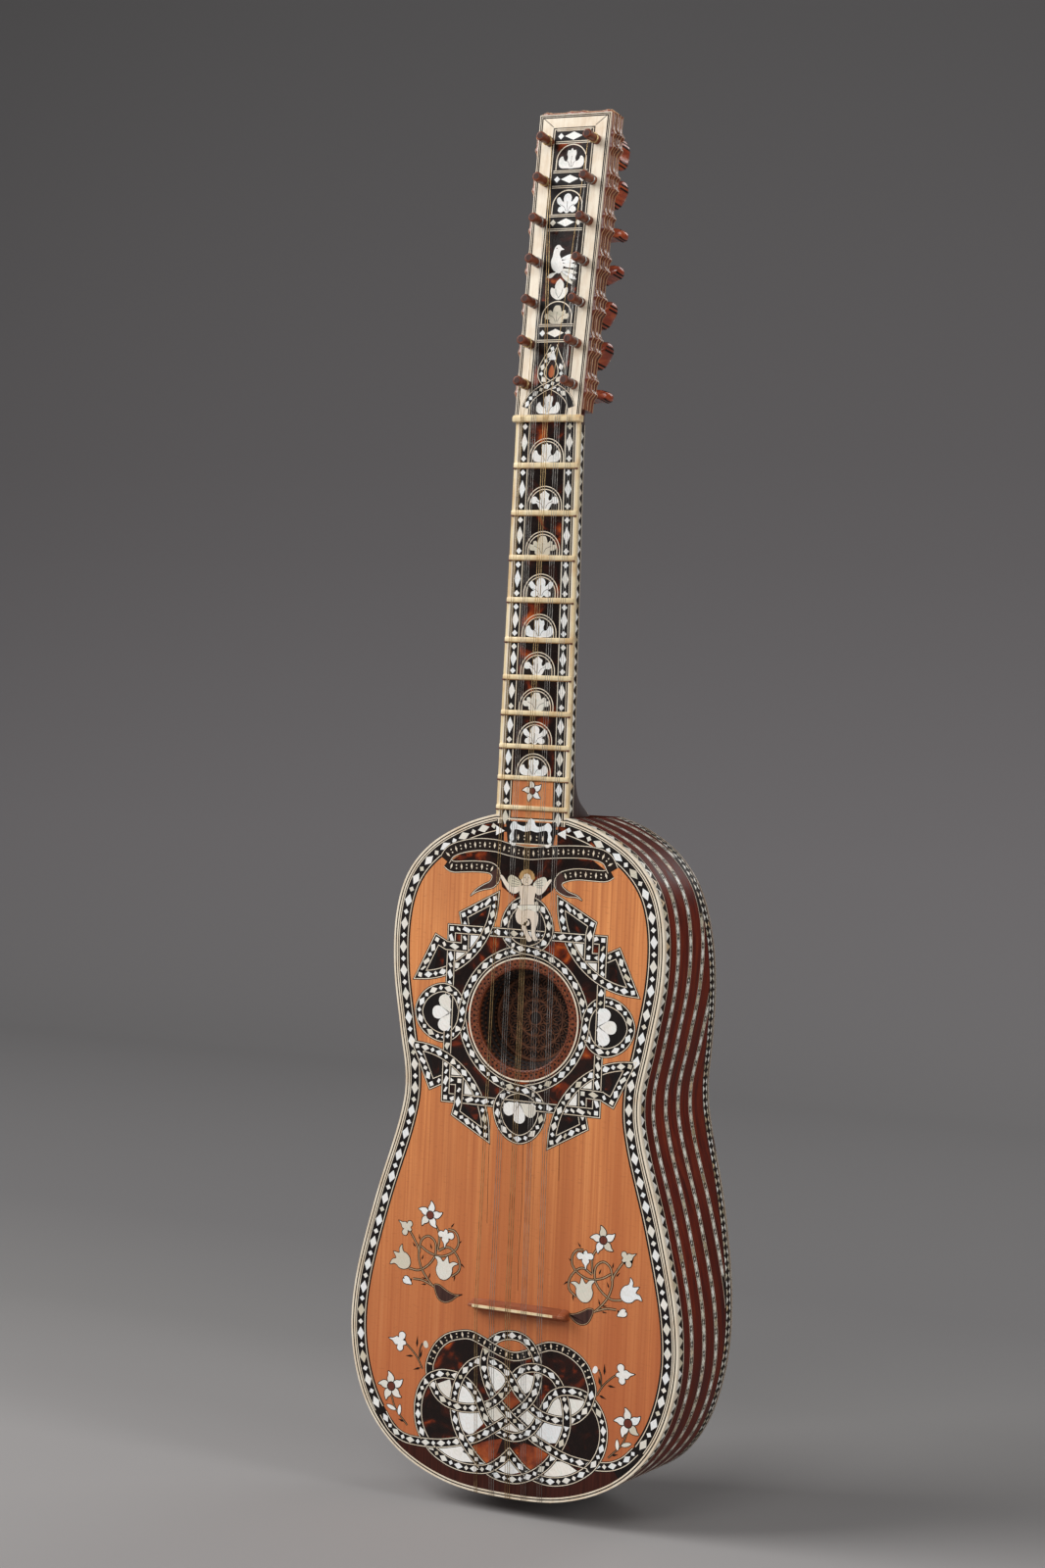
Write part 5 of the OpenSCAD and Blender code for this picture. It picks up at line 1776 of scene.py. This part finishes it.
def build_rose():
    rim = Work()
    turned = lambda pts: [[spot(r * math.cos(a), y, HOLE_Z + r * math.sin(a)) for r, y in pts]
                          for a in turns(96)]
    rim.loft(turned([(36.0, 0.15), (35.2, -0.1), (34.2, 0.1), (33.6, 0.5), (33.6, 2.6), (36.0, 2.6)]),
             "lace", closed=True)
    for a in turns(72):
        for r, size in ((35.2, 0.5), (34.3, 0.3)):
            b = a + (math.pi / 72 if size < 0.4 else 0)
            hole = circle(r * math.cos(b), HOLE_Z + r * math.sin(b), size, 8)
            rim.plate(hole, "mastic", 0.13, -0.4)
    rim.make("rose_lace", "rose_wood", 40, ("rose_rim",))
    cup = Work()
    steps = [(33.0, 2.6), (33.0, 4.2), (32.0, 4.6), (32.0, 8.6), (30.6, 9.0), (30.6, 13.2), (29.3, 13.6),
             (29.2, 18.2), (30.4, 19.2), (31.0, 19.2), (34.2, 4.0), (39.4, 3.8), (39.4, 2.65)]
    cup.loft(turned(steps), "rose", closed=True)
    for r, y0 in ((32.95, 3.4), (31.95, 6.6), (30.55, 11.1), (29.3, 15.8)):
        for k in range(60):
            a = 2 * math.pi * (k + (0.5 if r < 32 else 0)) / 60
            out = Vector((math.cos(a), 0, math.sin(a)))
            side = Vector((-math.sin(a), 0, math.cos(a)))
            base = spot(0, 0, HOLE_Z) + out * (r * MM)
            block = ((-0.7, -0.9), (0.7, -0.9), (0.7, 0.9), (-0.7, 0.9))
            cup.loft([[base + side * (w * MM) + Vector((0, (y0 + h) * MM, 0)) + out * (d * MM)
                       for w, h in block] for d in (-0.3, 0.5)], "tracery")
    cup.make("rose_well", "rose_wood", 40, ("rose_cup",))
    y = 18.0
    disc = Work(lambda u, v, lift: spot(u, y - lift, v))
    disc.loft([[spot(r * math.cos(a), yy, HOLE_Z + r * math.sin(a)) for a in turns(72)]
               for r, yy in ((29.0, y + 1.1), (29.0, y + 0.3))], "rose")
    for radius, thick, lift in ((28.0, 0.8, 0.5), (20.2, 0.5, 0.3), (12.0, 0.5, 0.5), (4.6, 0.5, 0.5)):
        disc.ribbon(Path(circle(0, HOLE_Z, radius, 72), True), thick, -thick, "tracery", lift, -0.6)
    for count, radius, size in ((24, 24.2, 3.2), (16, 16.0, 3.6), (8, 8.4, 3.0)):
        for a in turns(count):
            c = (radius * math.cos(a), HOLE_Z + radius * math.sin(a))
            disc.ribbon(Path(circle(c[0], c[1], size, 18), True), 0.28, -0.28, "tracery", 0.3, -0.6)
            petal = placed(((0, -0.8), (0.42, 0), (0, 0.8), (-0.42, 0)), c[0], c[1], size,
                           math.degrees(a) + 90)
            disc.ribbon(Path(petal, True), 0.22, -0.22, "tracery", 0.35, -0.6)
    disc.make("rose_floor", "rose_wood", 40, ("rose_disc",))


# the pieces of the child: finish, dark edge, height over the rest, outline
CHILD = [
    ("ivory", 0.3, 0.04, [(-5.4, 403.4), (-9.6, 400.2), (-14.2, 401.4), (-18.0, 405.6), (-21.6, 411.4),
                          (-19.8, 411.6), (-16.8, 408.4), (-13.0, 404.8), (-9.2, 404.4), (-6.0, 406.0)]),
    ("ivory", 0.3, 0.04, [(3.6, 403.4), (7.6, 400.2), (11.6, 402.4), (14.8, 407.0), (17.0, 410.4),
                          (15.6, 411.0), (12.8, 408.4), (9.8, 405.0), (7.2, 404.6), (4.2, 406.2)]),
    ("ivory", 0.3, 0.08, [(-1, 406.4), (-5.4, 405.4), (-6.6, 401.0), (-5.4, 396.0), (-6.8, 390.6),
                          (-6.4, 386.0), (-1.6, 384.0), (4.4, 385.4), (6.0, 390.0), (4.6, 396.0),
                          (5.2, 401.4), (4.0, 405.4)]),
    ("ivory", 0.3, 0.12, [(-6.2, 391), (-8.8, 386.8), (-7.4, 381.6), (-3.0, 379.6), (1.4, 379.8),
                          (1.6, 382.8), (-2.6, 385.2), (-1.8, 388.0)]),
    ("ivory", 0.3, 0.12, [(4.8, 391), (8.2, 386.4), (7.6, 380.6), (6.2, 375.4), (8.4, 370.8), (5.4, 370.2),
                          (3.6, 374.8), (3.2, 381.4), (1.2, 386.6)]),
    ("ivory", 0.3, 0.12, [(0.8, 383.0), (-0.6, 379.2), (1.6, 374.4), (4.2, 370.4), (1.2, 369.2),
                          (-1.4, 373.6), (-3.8, 379.2)]),
    ("aged_pearl", 0.25, 0.16, [(-8.0, 392), (-4.0, 389.4), (1.0, 390.6), (6.6, 389.0), (9.4, 392.8),
                                (6.4, 393.4), (1.0, 393.2), (-4.6, 392.6)]),
]


def lay_child(work):
    """A small generic winged child in pearl above the soundhole."""
    wing = [(0, 0), (3.0, 4.2), (8.2, 6.2), (10.4, 3.6), (9.6, 0.0), (7.0, -2.6), (3.4, -3.0)]
    for side in (-1, 1):
        shape = rounded(placed(wing, side * 4.2 - 1.0, 406.2, 1.0, 0, side < 0))
        outlined(work, shape, "aged_pearl", 0.35, TOP)
        for k in range(4):
            a = Vector((side * 6.0 - 1.0, 405.2 + k * 1.1))
            b = Vector((side * (12.4 - 0.5 * k) - 1.0, 405.0 + k * 1.8))
            work.ribbon(Path([a, b]), 0.12, -0.12, "mastic", TOP + 0.02)
    for finish, edge, rise, shape in CHILD:
        outlined(work, rounded(shape), finish, edge, TOP + rise)
    outlined(work, circle(-1.4, 410.6, 4.6, 20), "ivory", 0.35, TOP + 0.16)
    for k in range(9):
        a = math.radians(8 + 20.5 * k)
        curl = circle(-1.4 + 4.5 * math.cos(a), 410.9 + 4.4 * math.sin(a), 1.6, 10)
        work.plate(curl, "hair", TOP + 0.17 + 0.012 * (k % 3))
    for x in (-3.0, 0.2):
        work.ribbon(Path([(x - 0.6, 411.0), (x, 411.25), (x + 0.6, 411.0)]), 0.12, -0.12, "mastic",
                    TOP + 0.2)
    work.ribbon(Path([(-2.1, 408.3), (-1.4, 408.1), (-0.7, 408.3)]), 0.12, -0.12, "mastic", TOP + 0.2)
    work.ribbon(Path([(-1.4, 410.6), (-1.1, 409.5), (-1.6, 409.4)]), 0.1, -0.1, "mastic", TOP + 0.2)


# ---- putting it together -------------------------------------------------------------------------

for node, finish in (
    ("soundboard", "spruce"), ("table_border", "black"), ("front_binding", "bone"),
    ("lining_front", "inner"), ("lining_back", "inner"), ("neck_block", "rib"), ("tail_block", "inner"),
    ("table_braces", "inner"), ("back_braces", "inner"), ("fingerboard", "tortoise"),
    ("fingerboard_binding", "old_bone"), ("head_core", "edge"), ("head_face", "bone"),
    ("hitch_pins", "brass"), ("end_button", "black"),
):
    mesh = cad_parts[node].data
    mesh.materials.clear()
    mesh.materials.append(FINISH[finish])

build_sides()
build_back()
build_neck()
build_head()
build_rose()
build_frets()
build_bridge()
build_strings()
for row in range(1, 8):
    build_peg(-1, row, LEFT_TURNS[row - 1])
    build_peg(1, row, RIGHT_TURNS[row - 1])
lay_border().make("border_inlay", "inlay_strip")
lay_crescent().make("tail_field", "ebony")
lay_knot().make("knot_inlay", "inlay_strip")
lay_rose().make("rose_surround", "inlay_strip")
banner = lay_banner()
lay_child(banner)
banner.make("banner_inlay", "inlay_strip")
lay_flowers().make("flower_inlay", "inlay_strip")
lay_fingerboard().make("fingerboard_inlay", "inlay_strip")
lay_head().make("head_inlay", "inlay_strip")

# ---- stage, light and camera ---------------------------------------------------------------------

scene = bpy.context.scene
FLOOR_Z = cad_box[0][2] - 0.0005


def build_stage():
    """A pale floor that sweeps up into a backdrop, coloured with painted light: brighter in front, darker
    further back and up the backdrop.
    """
    pts = [(-3.5, 0.0), (2.2, 0.0)]
    pts += [(2.2 + 1.0 * math.sin(a), 1.0 - 1.0 * math.cos(a))
            for a in (math.radians(10 * k) for k in range(1, 10))]
    pts += [(3.2, 5.0)]
    mesh = bpy.data.meshes.new("floor")
    verts = [(x, y, FLOOR_Z + z) for y, z in pts for x in (-5.0, 5.0)]
    mesh.from_pydata(verts, [], [(2 * i, 2 * i + 1, 2 * i + 3, 2 * i + 2) for i in range(len(pts) - 1)])
    mesh.polygons.foreach_set("use_smooth", [True] * len(mesh.polygons))
    floor = bpy.data.objects.new("floor", mesh)
    scene.collection.objects.link(floor)
    paint = Finish("floor_painted_light", rough=0.8, specular=0.2)
    away = paint.node("VectorMath")
    away.operation = "DOT_PRODUCT"
    away.inputs[1].default_value = (0, 1, 1)
    paint.link(paint.coords, away.inputs[0])
    # painted light: the colour ramp paints a pool of light on the floor in front and a falloff that darkens
    # the floor further back and the backdrop towards its top
    painted_falloff = paint.grey(away.outputs["Value"], 0.0, 1.0, FLOOR_Z, FLOOR_Z + 5.4)
    paint.colour(paint.ramp(painted_falloff, [(0.0, (154, 151, 150)), (0.08, (130, 128, 127)), (0.16, (122, 120, 120)),
                                   (0.42, (128, 126, 126)), (0.6, (120, 117, 118)), (0.74, (108, 105, 106)),
                                   (1.0, (86, 85, 85))]))
    mesh.materials.append(paint.mat)


def add_light(name, place, aim, size, power):
    light = bpy.data.lights.new(name, "AREA")
    light.shape = "RECTANGLE"
    light.size, light.size_y = size
    light.energy = power
    obj = bpy.data.objects.new(name, light)
    scene.collection.objects.link(obj)
    obj.location = place
    obj.rotation_euler = (Vector(aim) - Vector(place)).to_track_quat("-Z", "Y").to_euler()


# both in millimetres
SENSOR = 36.0
FOCAL_LENGTH = 71.6625


def build_camera():
    yaw, pitch, roll = math.radians(27.97), math.radians(-1.23), math.radians(2.35)
    place = spot(958.6, -1819.7, 517.0)
    ahead = Vector((-math.sin(yaw) * math.cos(pitch), math.cos(yaw) * math.cos(pitch), math.sin(pitch)))
    level = Vector((math.cos(yaw), math.sin(yaw), 0))
    upright = level.cross(ahead)
    right = math.cos(roll) * level + math.sin(roll) * upright
    up = -math.sin(roll) * level + math.cos(roll) * upright
    lens = bpy.data.cameras.new("camera")
    lens.sensor_fit = "VERTICAL"
    lens.sensor_height = SENSOR
    lens.sensor_width = SENSOR
    lens.lens = FOCAL_LENGTH
    lens.clip_end = 50
    camera = bpy.data.objects.new("camera", lens)
    scene.collection.objects.link(camera)
    turn = Matrix((right, up, -ahead)).transposed().to_4x4()
    camera.matrix_world = Matrix.Translation(place) @ turn
    scene.camera = camera


build_stage()
build_camera()
for light in (
    ("key", (-2.7, -1.9, 2.0), (0, 0, -0.3), (2.6, 2.6), 166),
    ("fill", (0.5, -3.4, 1.9), (0, 0, -0.35), (1.6, 1.2), 34),
    ("side", (2.9, -0.5, 0.5), (0, 0, -0.35), (0.8, 1.8), 27),
    ("back", (0.9, 2.4, 1.3), (0, 0, -0.3), (1.4, 1.4), 16),
):
    add_light(*light)
world = bpy.data.worlds.new("studio")
world.use_nodes = True
sky = world.node_tree.nodes["Background"]
sky.inputs["Color"].default_value = (0.62, 0.62, 0.63, 1)
sky.inputs["Strength"].default_value = 0.30
scene.world = world
scene.view_settings.view_transform = "Standard"
